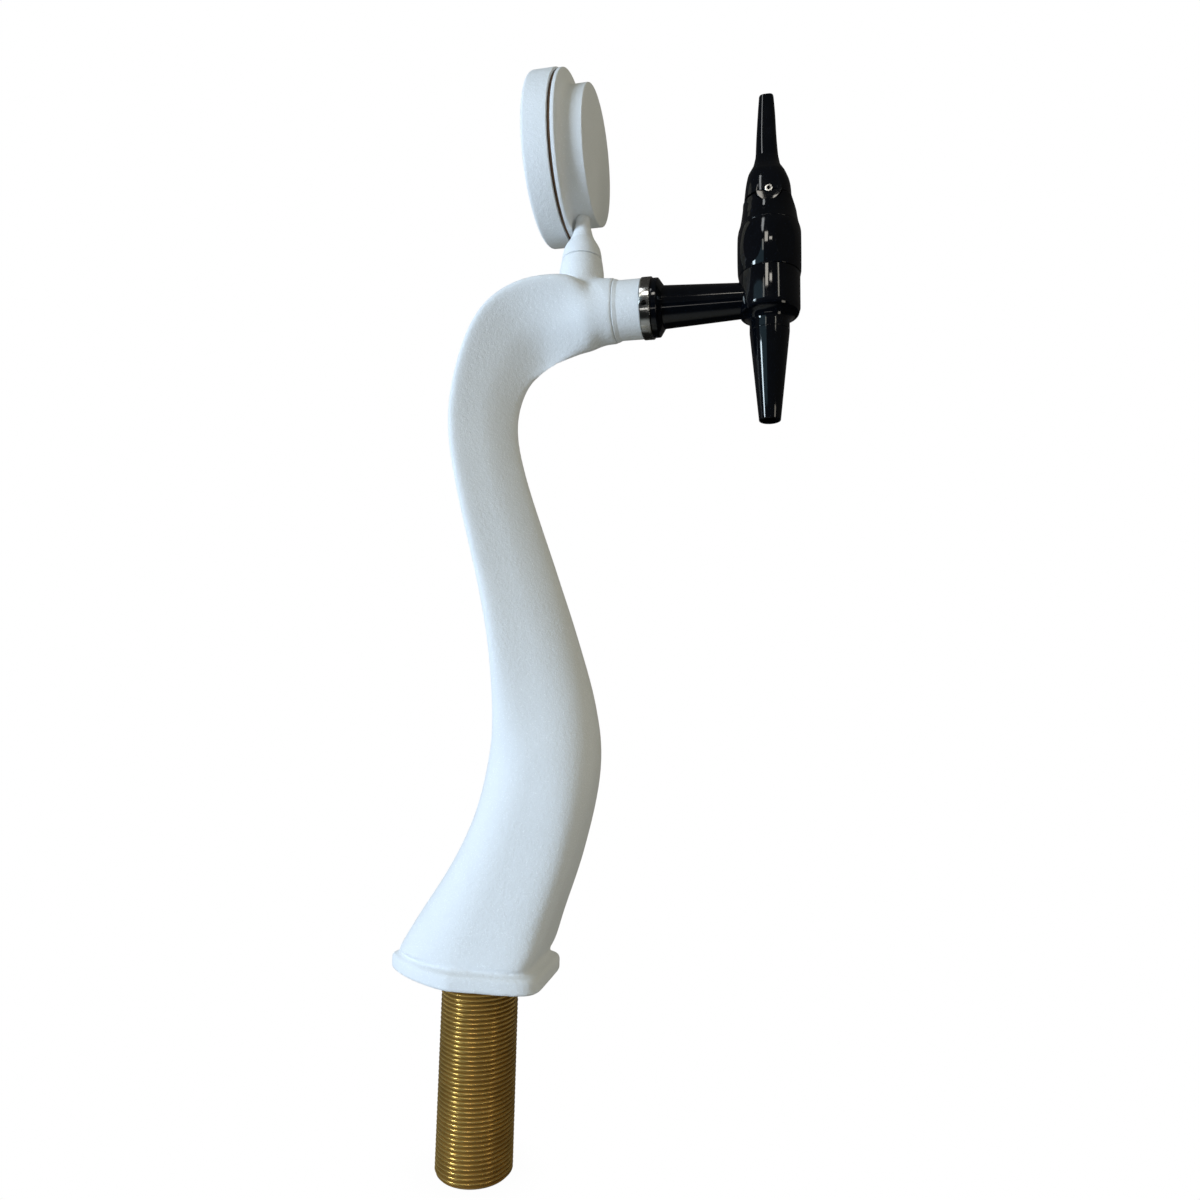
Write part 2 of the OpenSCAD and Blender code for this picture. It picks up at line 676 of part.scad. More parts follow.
// Back shell of the badge: a flanged drum with a hollow sweep between rim and drum
module badge_housing() {
    rim_r = bezel_d / 2 - 0.6;
    drum_r = drum_d / 2;
    sweep = 4.5;
    shell = stem_tip;
    back = 3;
    thread_r = bezel_bore / 2 - fit;
    thread_x = lens_x + lens_t + disc_t;
    socket_z = pillar_z + badge_stem_h;
    color(white)
        difference() {
            turn_x(concat(
                [[drum_r - shell, drum_x1 - back], [drum_r - shell, rim_x1], [thread_r - 4, rim_x1 - 2],
                 [thread_r - 4, thread_x], [thread_r, thread_x], [thread_r, bezel_x1 + gasket_w],
                 [rim_r, bezel_x1 + gasket_w], [rim_r, rim_x1 - 1], [rim_r - 1, rim_x1]],
                [for (a = [0 : 15 : 90])
                    [drum_r + sweep * (1 - sin(a)), rim_x1 + sweep * (1 - cos(a))]],
                [[drum_r, drum_x1 - 0.5], [drum_r - 0.5, drum_x1], [0, drum_x1], [0, drum_x1 - back]]),
                   badge_z);
            bar_z(stem_tip_d + 2 * fit, pillar_x, socket_z - 6, socket_z + stem_tip + 4);
        }
}

module badge_gasket() {
    color("saddlebrown")
        turn_x([[bezel_bore / 2, bezel_x1], [bezel_d / 2 - 1.3, bezel_x1],
                [bezel_d / 2 - 1.3, bezel_x1 + gasket_w], [bezel_bore / 2, bezel_x1 + gasket_w]], badge_z);
}

module badge_bezel() {
    r = bezel_d / 2;
    soft = 4;
    lip_r = bezel_bore / 2 - 2.7;
    color(white)
        turn_x(concat(
            [[lip_r, bezel_x0]],
            [for (a = [0 : 15 : 90]) [r - soft * (1 - sin(a)), bezel_x0 + soft * (1 - cos(a))]],
            [[r, bezel_x1 - 0.5], [r - 0.5, bezel_x1], [bezel_bore / 2, bezel_x1], [bezel_bore / 2, lens_x],
             [lip_r, lens_x]]), badge_z);
}

module badge_lens() {
    color("lightcyan")
        bar_x(bezel_bore - 2 * fit, lens_x, lens_x + lens_t, badge_z);
}

module badge_disc() {
    color("white")
        bar_x(bezel_bore - 2 * fit, lens_x + lens_t, lens_x + lens_t + disc_t, badge_z);
}

font_body();
threaded_stem();
outlet_spigot();
hose_tail();
shank_seal();
beer_line();
lock_ring();
tap_body();
nozzle();
bonnet();
bonnet_cap();
cap_o_ring();
rod_o_ring();
plunger();
plunger_seal();
return_spring();
pivot_pin();
lever();
badge_stem();
badge_stud();
badge_housing();
badge_gasket();
badge_bezel();
badge_lens();
badge_disc();
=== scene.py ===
"""Looks of a swan-neck beer font: white casting, brass stem, badge head and black tap."""

import logging
import math
from contextlib import contextmanager
from dataclasses import dataclass
from enum import Enum
from typing import Any, Callable, Iterator, Sequence

import bmesh
import bpy
from mathutils import Matrix, Vector
from mathutils.kdtree import KDTree


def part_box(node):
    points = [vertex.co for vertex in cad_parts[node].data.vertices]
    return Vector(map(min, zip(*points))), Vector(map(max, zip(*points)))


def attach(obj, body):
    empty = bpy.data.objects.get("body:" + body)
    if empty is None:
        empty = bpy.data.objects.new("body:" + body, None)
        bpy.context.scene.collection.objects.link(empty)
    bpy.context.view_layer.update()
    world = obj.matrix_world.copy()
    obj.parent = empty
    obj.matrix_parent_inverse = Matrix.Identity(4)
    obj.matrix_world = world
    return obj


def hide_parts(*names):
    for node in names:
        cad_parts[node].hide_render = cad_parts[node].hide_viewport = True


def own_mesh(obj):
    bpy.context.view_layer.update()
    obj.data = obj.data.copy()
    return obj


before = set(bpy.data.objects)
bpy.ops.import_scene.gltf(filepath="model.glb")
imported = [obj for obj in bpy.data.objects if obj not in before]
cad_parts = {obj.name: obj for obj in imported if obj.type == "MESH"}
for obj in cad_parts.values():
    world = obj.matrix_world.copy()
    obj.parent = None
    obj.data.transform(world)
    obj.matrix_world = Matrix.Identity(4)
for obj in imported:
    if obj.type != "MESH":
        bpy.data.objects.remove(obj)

Piece = bpy.types.Object
Tree = bpy.types.NodeTree
Node = bpy.types.Node
Socket = bpy.types.NodeSocket
Material = bpy.types.Material
Triple = tuple[float, float, float]
Outline = list[tuple[float, ...]]
Ring = list[Vector]

LOG = logging.getLogger("beer_font")
MM = 0.001
WELD = 0.002 * MM
FULL_TURN = 2 * math.pi


class Axis(Enum):
    """Direction that a turning axis has."""

    X = (1.0, 0.0, 0.0)
    Y = (0.0, 1.0, 0.0)
    Z = (0.0, 0.0, 1.0)


class Body(Enum):
    """Bodies of the frame that pieces ride on."""

    FONT = "font"
    PLUNGER = "plunger"
    LEVER = "lever"


class Cut(Enum):
    """What a cutter does to a piece."""

    AWAY = "DIFFERENCE"
    ADD = "UNION"
    KEEP = "INTERSECT"


@dataclass(frozen=True)
class Corner:
    """A corner of a turned outline, in millimetres.

    Args:
        radius: distance from the turning axis.
        along: place along the turning axis.
        fillet: radius that rounds the corner off.
    """

    radius: float
    along: float
    fillet: float = 0.0

    def spot(self) -> Vector:
        """Returns the corner as a point."""
        return Vector((self.radius, self.along))


@dataclass(frozen=True)
class Spindle:
    """A turning axis through a point, in millimetres."""

    axis: Axis
    x: float = 0.0
    z: float = 0.0

    def place(self, radius: float, along: float) -> Vector:
        """Returns the point of an outline in metres."""
        if self.axis is Axis.X:
            return Vector((along, 0.0, self.z + radius)) * MM
        if self.axis is Axis.Y:
            return Vector((self.x + radius, along, self.z)) * MM
        return Vector((self.x + radius, 0.0, along)) * MM

    def centre(self) -> Vector:
        """Returns a point on the axis in metres."""
        return Vector((self.x, 0.0, self.z)) * MM


class Bench:
    """Modelling steps that every piece uses."""

    @staticmethod
    def clear() -> None:
        """Leaves edit mode and selects nothing."""
        if bpy.context.object and bpy.context.object.mode != "OBJECT":
            bpy.ops.object.mode_set(mode="OBJECT")
        bpy.ops.object.select_all(action="DESELECT")

    @staticmethod
    def pick(piece: Piece) -> None:
        """Selects one piece and makes it active."""
        Bench.clear()
        piece.select_set(True)
        bpy.context.view_layer.objects.active = piece

    @staticmethod
    def settle(name: str) -> Piece:
        """Puts the active piece's place into its mesh.

        Args:
            name: name of the piece.

        Returns:
            The piece, with its object at the origin.
        """
        piece = bpy.context.object
        piece.name = piece.data.name = name
        bpy.ops.object.transform_apply(location=True, rotation=True, scale=True)
        return piece

    @staticmethod
    @contextmanager
    def editing(kind: str = "VERT") -> Iterator[None]:
        """Opens the active piece with all of it selected and closes it at the end.

        Args:
            kind: what edit mode selects.
        """
        bpy.ops.object.mode_set(mode="EDIT")
        bpy.ops.mesh.select_mode(type=kind)
        bpy.ops.mesh.select_all(action="SELECT")
        yield
        bpy.ops.mesh.select_all(action="SELECT")
        bpy.ops.object.mode_set(mode="OBJECT")

    @staticmethod
    def sew() -> None:
        """Welds the open piece's seams and turns its faces outwards."""
        bpy.ops.mesh.select_all(action="SELECT")
        bpy.ops.mesh.remove_doubles(threshold=WELD)
        bpy.ops.mesh.normals_make_consistent(inside=False)

    @staticmethod
    def outline(spots: Outline, arc_step: float = 12.0) -> list[tuple[float, float]]:
        """Rounds off the corners of an outline.

        Args:
            spots: corners in order, as radius, place along the axis and fillet, if any.
            arc_step: degrees between the points of a fillet.

        Returns:
            Points as radius and place along the axis.
        """
        corners = [Corner(*spot) for spot in spots]
        points: list[tuple[float, float]] = []
        for i, corner in enumerate(corners):
            here = corner.spot()
            if corner.fillet <= 0 or i in (0, len(corners) - 1):
                points.append(tuple(here))
                continue
            back, ahead = corners[i - 1].spot() - here, corners[i + 1].spot() - here
            half = back.angle(ahead) / 2
            reach = min(corner.fillet / math.tan(half), 0.49 * back.length, 0.49 * ahead.length)
            back.normalize()
            ahead.normalize()
            middle = here + (back + ahead).normalized() * (reach / math.cos(half))
            start, end = here + back * reach - middle, here + ahead * reach - middle
            turn = start.angle_signed(end)
            count = max(2, math.ceil(abs(math.degrees(turn)) / arc_step))
            for k in range(count + 1):
                spoke = start.copy()
                spoke.rotate(Matrix.Rotation(-turn * k / count, 2))
                points.append(tuple(middle + spoke))
        return points

    @staticmethod
    def drawn(name: str, path: Sequence[Vector]) -> Piece:
        """Draws a line vertex by vertex.

        Args:
            name: name of the piece.
            path: points of the line in metres.

        Returns:
            The line as a piece without faces.
        """
        Bench.clear()
        bpy.ops.mesh.primitive_plane_add(size=MM, location=path[0])
        piece = Bench.settle(name)
        with Bench.editing():
            bpy.ops.mesh.merge(type="CENTER")
            for here, there in zip(path, path[1:]):
                bpy.ops.mesh.extrude_region_move(TRANSFORM_OT_translate={"value": there - here})
        return piece

    @staticmethod
    def turned(name: str, spindle: Spindle, outline: Outline, steps: int = 128) -> Piece:
        """Spins an outline round its axis.

        Args:
            name: name of the piece.
            spindle: turning axis.
            outline: corners of the outline.
            steps: number of steps in the full turn.

        Returns:
            The turned piece.
        """
        piece = Bench.drawn(name, [spindle.place(*spot) for spot in Bench.outline(outline)])
        with Bench.editing():
            bpy.ops.mesh.spin(steps=steps, angle=FULL_TURN, center=spindle.centre(),
                              axis=spindle.axis.value)
            Bench.sew()
        return piece

    @staticmethod
    def rod(name: str, spindle: Spindle, radius: float, start: float, end: float,
            steps: int = 96) -> Piece:
        """Returns a plain turned rod, used as a cutter."""
        outline = [(0, start), (radius, start), (radius, end), (0, end)]
        return Bench.turned(name, spindle, outline, steps)

    @staticmethod
    def block(name: str, size: Sequence[float], place: Sequence[float]) -> Piece:
        """Returns a box round a place, used as a cutter."""
        Bench.clear()
        bpy.ops.mesh.primitive_cube_add(size=1, location=Vector(place) * MM,
                                        scale=Vector(size) * MM)
        return Bench.settle(name)

    @staticmethod
    def lofted(name: str, rings: Sequence[Ring]) -> Piece:
        """Extrudes a filled circle from ring to ring.

        Args:
            name: name of the piece.
            rings: rings of points in millimetres, all of one length.

        Returns:
            A closed piece through all the rings.
        """
        Bench.clear()
        bpy.ops.mesh.primitive_circle_add(vertices=len(rings[0]), radius=MM, fill_type="NGON")
        piece = Bench.settle(name)
        for vertex, point in zip(piece.data.vertices, rings[0]):
            vertex.co = point * MM
        with Bench.editing("FACE"):
            for here, there in zip(rings, rings[1:]):
                bpy.ops.mesh.extrude_region_move(TRANSFORM_OT_translate={"value": (0, 0, 0)})
                tree = KDTree(len(here))
                for i, point in enumerate(here):
                    tree.insert(point * MM, i)
                tree.balance()
                mesh = bmesh.from_edit_mesh(piece.data)
                for vertex in [v for v in mesh.verts if v.select]:
                    vertex.co = there[tree.find(vertex.co)[1]] * MM
                bmesh.update_edit_mesh(piece.data)
            bpy.ops.mesh.select_all(action="SELECT")
            bpy.ops.mesh.normals_make_consistent(inside=False)
        return piece

    @staticmethod
    def modify(piece: Piece, kind: str, where: Callable[[Vector], float] | None = None,
               **settings: Any) -> None:
        """Applies a modifier to a piece or to a region of it.

        Args:
            piece: the piece that is shaped.
            kind: kind of modifier.
            where: the region's share at a point in millimetres.
            settings: the modifier's settings.
        """
        Bench.pick(piece)
        step = piece.modifiers.new(kind.lower(), kind)
        if where:
            region = piece.vertex_groups.new(name="region")
            for vertex in piece.data.vertices:
                share = where(vertex.co / MM)
                if share > 0:
                    region.add([vertex.index], min(share, 1.0), "REPLACE")
            step.vertex_group = region.name
        for label, value in settings.items():
            setattr(step, label, value)
        bpy.ops.object.modifier_apply(modifier=step.name)
        piece.vertex_groups.clear()

    @staticmethod
    def carve(piece: Piece, cutter: Piece, cut: Cut = Cut.AWAY) -> None:
        """Applies a cutter to a piece and removes the cutter."""
        Bench.modify(piece, "BOOLEAN", operation=cut.value, solver="EXACT", object=cutter)
        bpy.data.objects.remove(cutter)

    @staticmethod
    def slice(piece: Piece, place: Triple, normal: Triple, above: bool) -> None:
        """Cuts a piece at a plane and closes the cut.

        Args:
            piece: the piece that is cut.
            place: point of the plane in millimetres.
            normal: direction of the plane.
            above: whether the side that the normal points to is kept.
        """
        Bench.pick(piece)
        with Bench.editing():
            bpy.ops.mesh.bisect(plane_co=Vector(place) * MM, plane_no=normal, use_fill=True,
                                clear_inner=above, clear_outer=not above)

    @staticmethod
    def fused(name: str, shells: Sequence[Piece], grain: float, passes: int) -> Piece:
        """Melts overlapping shells into one skin with soft inner corners.

        Args:
            name: name of the melted piece.
            shells: the shells.
            grain: cell size of the skin in millimetres.
            passes: smoothing passes.

        Returns:
            The melted piece.
        """
        Bench.pick(shells[0])
        for shell in shells:
            shell.select_set(True)
        bpy.ops.object.join()
        piece = Bench.settle(name)
        Bench.modify(piece, "REMESH", mode="VOXEL", voxel_size=grain * MM)
        Bench.modify(piece, "SMOOTH", iterations=passes)
        return piece


class Effects:
    """Shader nodes, and node groups that several finishes share."""

    @staticmethod
    def feed(tree: Tree, node: Node, feeds: dict[str | int, Any]) -> None:
        """Gives a node's inputs their values or links.

        Args:
            tree: tree of the node.
            node: the node.
            feeds: a value or a socket for each input.
        """
        for label, feed in feeds.items():
            if isinstance(feed, Socket):
                tree.links.new(feed, node.inputs[label])
            else:
                node.inputs[label].default_value = feed

    @staticmethod
    def node(tree: Tree, kind: str, feeds: dict[str | int, Any], **settings: Any) -> Node:
        """Adds a shader node.

        Args:
            tree: tree that gets the node.
            kind: kind of node.
            feeds: a value or a socket for each input.
            settings: the node's settings.

        Returns:
            The node.
        """
        node = tree.nodes.new("ShaderNode" + kind)
        for label, value in settings.items():
            setattr(node, label, value)
        Effects.feed(tree, node, feeds)
        return node

    @staticmethod
    def maths(tree: Tree, operation: str, *terms: Socket | float, clamp: bool = False) -> Socket:
        """Returns the result of an operation on numbers."""
        feeds = dict(enumerate(terms))
        return Effects.node(tree, "Math", feeds, operation=operation, use_clamp=clamp).outputs[0]

    @staticmethod
    def mix(tree: Tree, share: Socket, first: Socket | Triple, second: Triple) -> Socket:
        """Returns a blend of two colours."""
        feeds = {"Factor": share, "A": first if isinstance(first, Socket) else (*first, 1),
                 "B": (*second, 1)}
        return Effects.node(tree, "Mix", feeds, data_type="RGBA").outputs["Result"]

    @staticmethod
    def mix_shaders(tree: Tree, share: Socket, first: Node, second: Node) -> Node:
        """Returns a blend of two shaders."""
        feeds = {"Fac": share, 1: first.outputs[0], 2: second.outputs[0]}
        return Effects.node(tree, "MixShader", feeds)

    @staticmethod
    def span(tree: Tree, source: Socket, low: float, high: float, first: float = 0.0,
             last: float = 1.0) -> Socket:
        """Maps a value smoothly from one range to another.

        Args:
            tree: tree that gets the node.
            source: value to map.
            low: start of the source range.
            high: end of the source range.
            first: result at low.
            last: result at high.

        Returns:
            The mapped value.
        """
        labels = ("Value", "From Min", "From Max", "To Min", "To Max")
        feeds = dict(zip(labels, (source, low, high, first, last)))
        return Effects.node(tree, "MapRange", feeds,
                            interpolation_type="SMOOTHSTEP").outputs["Result"]

    @staticmethod
    def place(tree: Tree) -> Socket:
        """Returns the Object coordinates."""
        return Effects.node(tree, "TexCoord", {}).outputs["Object"]

    @staticmethod
    def distance(tree: Tree, spread: Triple = (1, 1, 1)) -> Socket:
        """Returns the distance from the origin along the spread's directions, in metres."""
        feeds = {0: Effects.place(tree), 1: spread}
        spot = Effects.node(tree, "VectorMath", feeds, operation="MULTIPLY").outputs["Vector"]
        return Effects.node(tree, "VectorMath", {0: spot}, operation="LENGTH").outputs["Value"]

    @staticmethod
    def noise(tree: Tree, scale: Socket | float, detail: float) -> Socket:
        """Returns a noise on Object coordinates, with its scale per metre."""
        feeds = {"Scale": scale, "Detail": detail, "Vector": Effects.place(tree)}
        return Effects.node(tree, "TexNoise", feeds).outputs["Fac"]

    @staticmethod
    def group(name: str, dial: str, outputs: Sequence[str]) -> tuple[Tree, Socket, Node]:
        """Makes a group with one dial.

        Args:
            name: name of the group.
            dial: name of its input.
            outputs: names of its outputs.

        Returns:
            The group, the dial and the node that takes the outputs.
        """
        tree = bpy.data.node_groups.new(name, "ShaderNodeTree")
        tree.interface.new_socket(dial, in_out="INPUT", socket_type="NodeSocketFloat")
        for label in outputs:
            tree.interface.new_socket(label, in_out="OUTPUT", socket_type="NodeSocketFloat")
        start = tree.nodes.new("NodeGroupInput")
        return tree, start.outputs[dial], tree.nodes.new("NodeGroupOutput")

    @staticmethod
    def cast_grain() -> Tree:
        """Returns the grain of a sprayed casting: height, bright flecks and slow tone."""
        tree, peel, out = Effects.group("cast_grain", "Peel", ("Height", "Fleck", "Tone"))
        fine = Effects.noise(tree, 1500, 2)
        coarse = Effects.noise(tree, 480, 3)
        slow = Effects.noise(tree, 14, 3)
        Effects.feed(tree, out, {
            "Height": Effects.maths(tree, "MULTIPLY_ADD", coarse, peel, fine),
            "Fleck": Effects.span(tree, fine, 0.60, 0.74),
            "Tone": Effects.span(tree, slow, 0.35, 0.65)})
        return tree

    @staticmethod
    def handling() -> Tree:
        """Returns traces of handling: slow smudges and fine dust."""
        tree, fineness, out = Effects.group("handling", "Fineness", ("Smudge", "Dust"))
        Effects.feed(tree, out, {
            "Smudge": Effects.span(tree, Effects.noise(tree, fineness, 4), 0.38, 0.68),
            "Dust": Effects.span(tree, Effects.noise(tree, 2200, 1), 0.66, 0.76)})
        return tree


CAST_GRAIN = Effects.cast_grain()
HANDLING = Effects.handling()


@dataclass(frozen=True)
class Finish:
    """A finish with two tones that an effect blends.

    Args:
        name: name of the material.
        tone: main colour.
        second: colour that the effect blends in.
        rough: roughness at the effect's low and high end.
        metal: metallic share.
        shine: specular level.
        bump: depth of the surface's grain in millimetres.
    """

    name: str
    tone: Triple
    second: Triple
    rough: tuple[float, float]
    metal: float = 0.0
    shine: float = 0.5
    bump: float = 0.0

    def start(self) -> tuple[Material, Tree, Node]:
        """Returns a new material, its tree and its shader with the plain values set."""
        material = bpy.data.materials.new(self.name)
        material.use_nodes = True
        tree = material.node_tree
        shader = tree.nodes["Principled BSDF"]
        Effects.feed(tree, shader, {"Metallic": self.metal, "Specular IOR Level": self.shine})
        return material, tree, shader

    def blend(self, tree: Tree, shader: Node, mask: Socket) -> Socket:
        """Blends both tones and both roughnesses by a mask.

        Args:
            tree: the material's tree.
            shader: the material's shader.
            mask: value from 0 to 1.

        Returns:
            The blended tone.
        """
        tone = Effects.mix(tree, mask, self.tone, self.second)
        rough = Effects.span(tree, mask, 0, 1, *self.rough)
        Effects.feed(tree, shader, {"Base Color": tone, "Roughness": rough})
        return tone

    def relief(self, tree: Tree, shader: Node, height: Socket) -> None:
        """Feeds a height through a bump to the shader's normal."""
        feeds = {"Strength": 1.0, "Distance": self.bump * MM, "Height": height}
        bump = Effects.node(tree, "Bump", feeds)
        Effects.feed(tree, shader, {"Normal": bump.outputs["Normal"]})


@dataclass(frozen=True)
class PowderCoat(Finish):
    """White sprayed coat with a fine peel and tiny bright flecks."""

    fleck: Triple = (0.94, 0.96, 0.97)
    peel: float = 1.6

    def build(self) -> Material:
        """Returns the material."""
        material, tree, shader = self.start()
        grain = Effects.node(tree, "Group", {"Peel": self.peel}, node_tree=CAST_GRAIN).outputs
        tone = self.blend(tree, shader, grain["Tone"])
        flecked = Effects.mix(tree, grain["Fleck"], tone, self.fleck)
        Effects.feed(tree, shader, {"Base Color": flecked})
        self.relief(tree, shader, grain["Height"])
        return material


@dataclass(frozen=True)
class HandledFinish(Finish):
    """Smooth finish with smudges and a faint relief."""

    fineness: float = 60.0

    def traces(self, tree: Tree) -> bpy.types.NodeOutputs:
        """Returns the traces of handling at the finish's fineness."""
        feeds = {"Fineness": self.fineness}
        return Effects.node(tree, "Group", feeds, node_tree=HANDLING).outputs

    def build(self) -> Material:
        """Returns the material."""
        material, tree, shader = self.start()
        traces = self.traces(tree)
        self.blend(tree, shader, traces["Smudge"])
        if self.bump > 0:
            self.relief(tree, shader, traces["Dust"])
        return material


@dataclass(frozen=True)
class ThreadBrass(HandledFinish):
    """Cut brass with painted shade: the main tone on the crests, darker towards the grooves.

    Args:
        root: groove radius in millimetres.
        crest: crest radius in millimetres.
        smudge: share of the smudges added to the painted groove shade.
    """

    root: float = 19.6
    crest: float = 20.9
    smudge: float = 0.35

    def build(self) -> Material:
        """Returns the material."""
        material, tree, shader = self.start()
        radius = Effects.distance(tree, (1, 1, 0))
        # painted shade: the colour darkens from the crest radius down to the groove radius
        groove = Effects.span(tree, radius, self.root * MM, self.crest * MM, 1, 0)
        smudge = self.traces(tree)["Smudge"]
        mask = Effects.maths(tree, "MULTIPLY_ADD", smudge, self.smudge, groove, clamp=True)
        self.blend(tree, shader, mask)
        return material


@dataclass(frozen=True)
class ClearLens(HandledFinish):
    """Clear moulded cover with faint smudges."""

    ior: float = 1.49

    def build(self) -> Material:
        """Returns the material."""
        material, tree, shader = self.start()
        Effects.feed(tree, shader, {"Transmission Weight": 1.0, "IOR": self.ior})
        self.blend(tree, shader, self.traces(tree)["Smudge"])
        return material


WHITE_COAT = PowderCoat("white_coat", (0.80, 0.82, 0.835), (0.765, 0.785, 0.80), (0.50, 0.62),
                        shine=0.25, bump=0.16)
BRASS_THREAD = ThreadBrass("brass_thread", (0.80, 0.52, 0.15), (0.42, 0.255, 0.065),
                           (0.20, 0.38), metal=0.78, fineness=90.0)
BLACK_GLOSS = HandledFinish("black_gloss", (0.0012, 0.0018, 0.003), (0.002, 0.0026, 0.004),
                            (0.05, 0.09))
CHROME = HandledFinish("chrome_bright", (0.62, 0.62, 0.61), (0.48, 0.48, 0.47), (0.16, 0.30),
                       metal=1.0, fineness=200.0)
STEEL = HandledFinish("steel_plain", (0.48, 0.49, 0.50), (0.38, 0.39, 0.40), (0.28, 0.42),
                      metal=1.0, fineness=150.0)
RUBBER = HandledFinish("seal_rubber", (0.022, 0.022, 0.023), (0.035, 0.035, 0.036),
                       (0.70, 0.86), shine=0.3, bump=0.01)
GASKET = HandledFinish("gasket_brown", (0.150, 0.082, 0.045), (0.105, 0.055, 0.030),
                       (0.55, 0.75), shine=0.3, bump=0.01)
LINE = HandledFinish("line_plastic", (0.66, 0.68, 0.66), (0.58, 0.60, 0.58), (0.38, 0.52))
LENS = ClearLens("lens_clear", (0.93, 0.95, 0.96), (0.90, 0.92, 0.93), (0.03, 0.09),
                 fineness=40.0)
DISC = PowderCoat("disc_white", (0.74, 0.74, 0.72), (0.71, 0.71, 0.69), (0.55, 0.65), bump=0.03)


class Dresser:
    """Gives pieces their finish, body and place in the frame."""

    made: dict[str, Material] = {}

    @classmethod
    def coat(cls, piece: Piece, finish: Finish) -> None:
        """Gives a piece a finish, whose material is built on first use."""
        if finish.name not in cls.made:
            cls.made[finish.name] = finish.build()
        piece.data.materials.clear()
        piece.data.materials.append(cls.made[finish.name])

    @classmethod
    def dress(cls, piece: Piece, finish: Finish, node: str, angle: float = 35.0,
              body: Body = Body.FONT) -> None:
        """Finishes a piece that stands for a node of the frame.

        Args:
            piece: the finished mesh.
            finish: finish of the piece.
            node: node that the piece replaces.
            angle: edge angle in degrees up to which the piece is shaded smooth.
            body: body that the piece rides on.
        """
        Bench.pick(piece)
        piece.data.validate()
        bpy.ops.object.shade_smooth_by_angle(angle=math.radians(angle))
        cls.coat(piece, finish)
        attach(piece, body.value)
        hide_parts(node)
        LOG.info("%s: %d faces", piece.name, len(piece.data.polygons))

    @classmethod
    def paint(cls, node: str, finish: Finish) -> None:
        """Gives a node of the frame, which stays as it is, a finish."""
        cls.coat(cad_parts[node], finish)
        LOG.info("%s: kept", node)


class Rings:
    """Rings of points that lofts run through."""

    @staticmethod
    def power(value: float, squareness: float) -> float:
        """Returns a sine or cosine bent towards a square."""
        return math.copysign(abs(value) ** (2 / squareness), value)

    @staticmethod
    def egg(row: Vector, sides: int) -> Ring:
        """Makes an egg-shaped ring with evenly spaced points.

        Args:
            row: x, z, lean in degrees, depth, width, skew and the two squarenesses.
            sides: number of points.

        Returns:
            Points in millimetres.
        """
        x, z, lean, depth, width, skew, front, back = row
        lean = math.radians(lean)
        dense: Ring = []
        for k in range(sides * 12):
            turn = FULL_TURN * k / (sides * 12)
            square = front if math.cos(turn) > 0 else back
            u, v = Rings.power(math.cos(turn), square), Rings.power(math.sin(turn), square)
            dense.append(Vector((x + depth / 2 * u * math.cos(lean),
                                 width / 2 * v * (1 + skew * u),
                                 z + depth / 2 * u * math.sin(lean))))
        return Rings.even(dense, sides)

    @staticmethod
    def even(points: Ring, count: int) -> Ring:
        """Spaces the points of a closed ring evenly.

        Args:
            points: points of the ring.
            count: number of points to return.

        Returns:
            Evenly spaced points, starting at the first one.
        """
        loop = points + [points[0]]
        marks = [0.0]
        for here, there in zip(loop, loop[1:]):
            marks.append(marks[-1] + (there - here).length)
        spaced: Ring = []
        i = 0
        for k in range(count):
            target = marks[-1] * k / count
            while marks[i + 1] < target:
                i += 1
            share = (target - marks[i]) / max(marks[i + 1] - marks[i], 1e-9)
            spaced.append(loop[i].lerp(loop[i + 1], share))
        return spaced

    @staticmethod
    def smooth(rows: Sequence[Vector], steps: int) -> list[Vector]:
        """Runs a smooth curve through rows of numbers.

        Args:
            rows: the rows that the curve runs through.
            steps: rows to return from one given row to the next.

        Returns:
            All the rows, with the first and the last given one at the ends.
        """
        ends = [rows[0], *rows, rows[-1]]
        curve: list[Vector] = []
        for a, b, c, d in zip(ends, ends[1:], ends[2:], ends[3:]):
            for t in (k / steps for k in range(steps)):
                curve.append((2 * b + (c - a) * t + (2 * a - 5 * b + 4 * c - d) * t ** 2
                              + (3 * b - a - 3 * c + d) * t ** 3) / 2)
        return curve + [rows[-1]]


@dataclass(frozen=True)
class Section:
    """A section of the neck: depth, width, skew and squareness of front and back."""

    depth: float
    width: float
    skew: float
    front: float
    back: float

    def row(self) -> Vector:
        """Returns the section as a row of numbers."""
        return Vector((self.depth, self.width, self.skew, self.front, self.back))


@dataclass(frozen=True)
class Station:
    """A stop on the neck's way: shares of reach and height, lean and a blend of two sections."""

    reach: float
    rise: float
    lean: float
    first: Section
    second: Section
    share: float


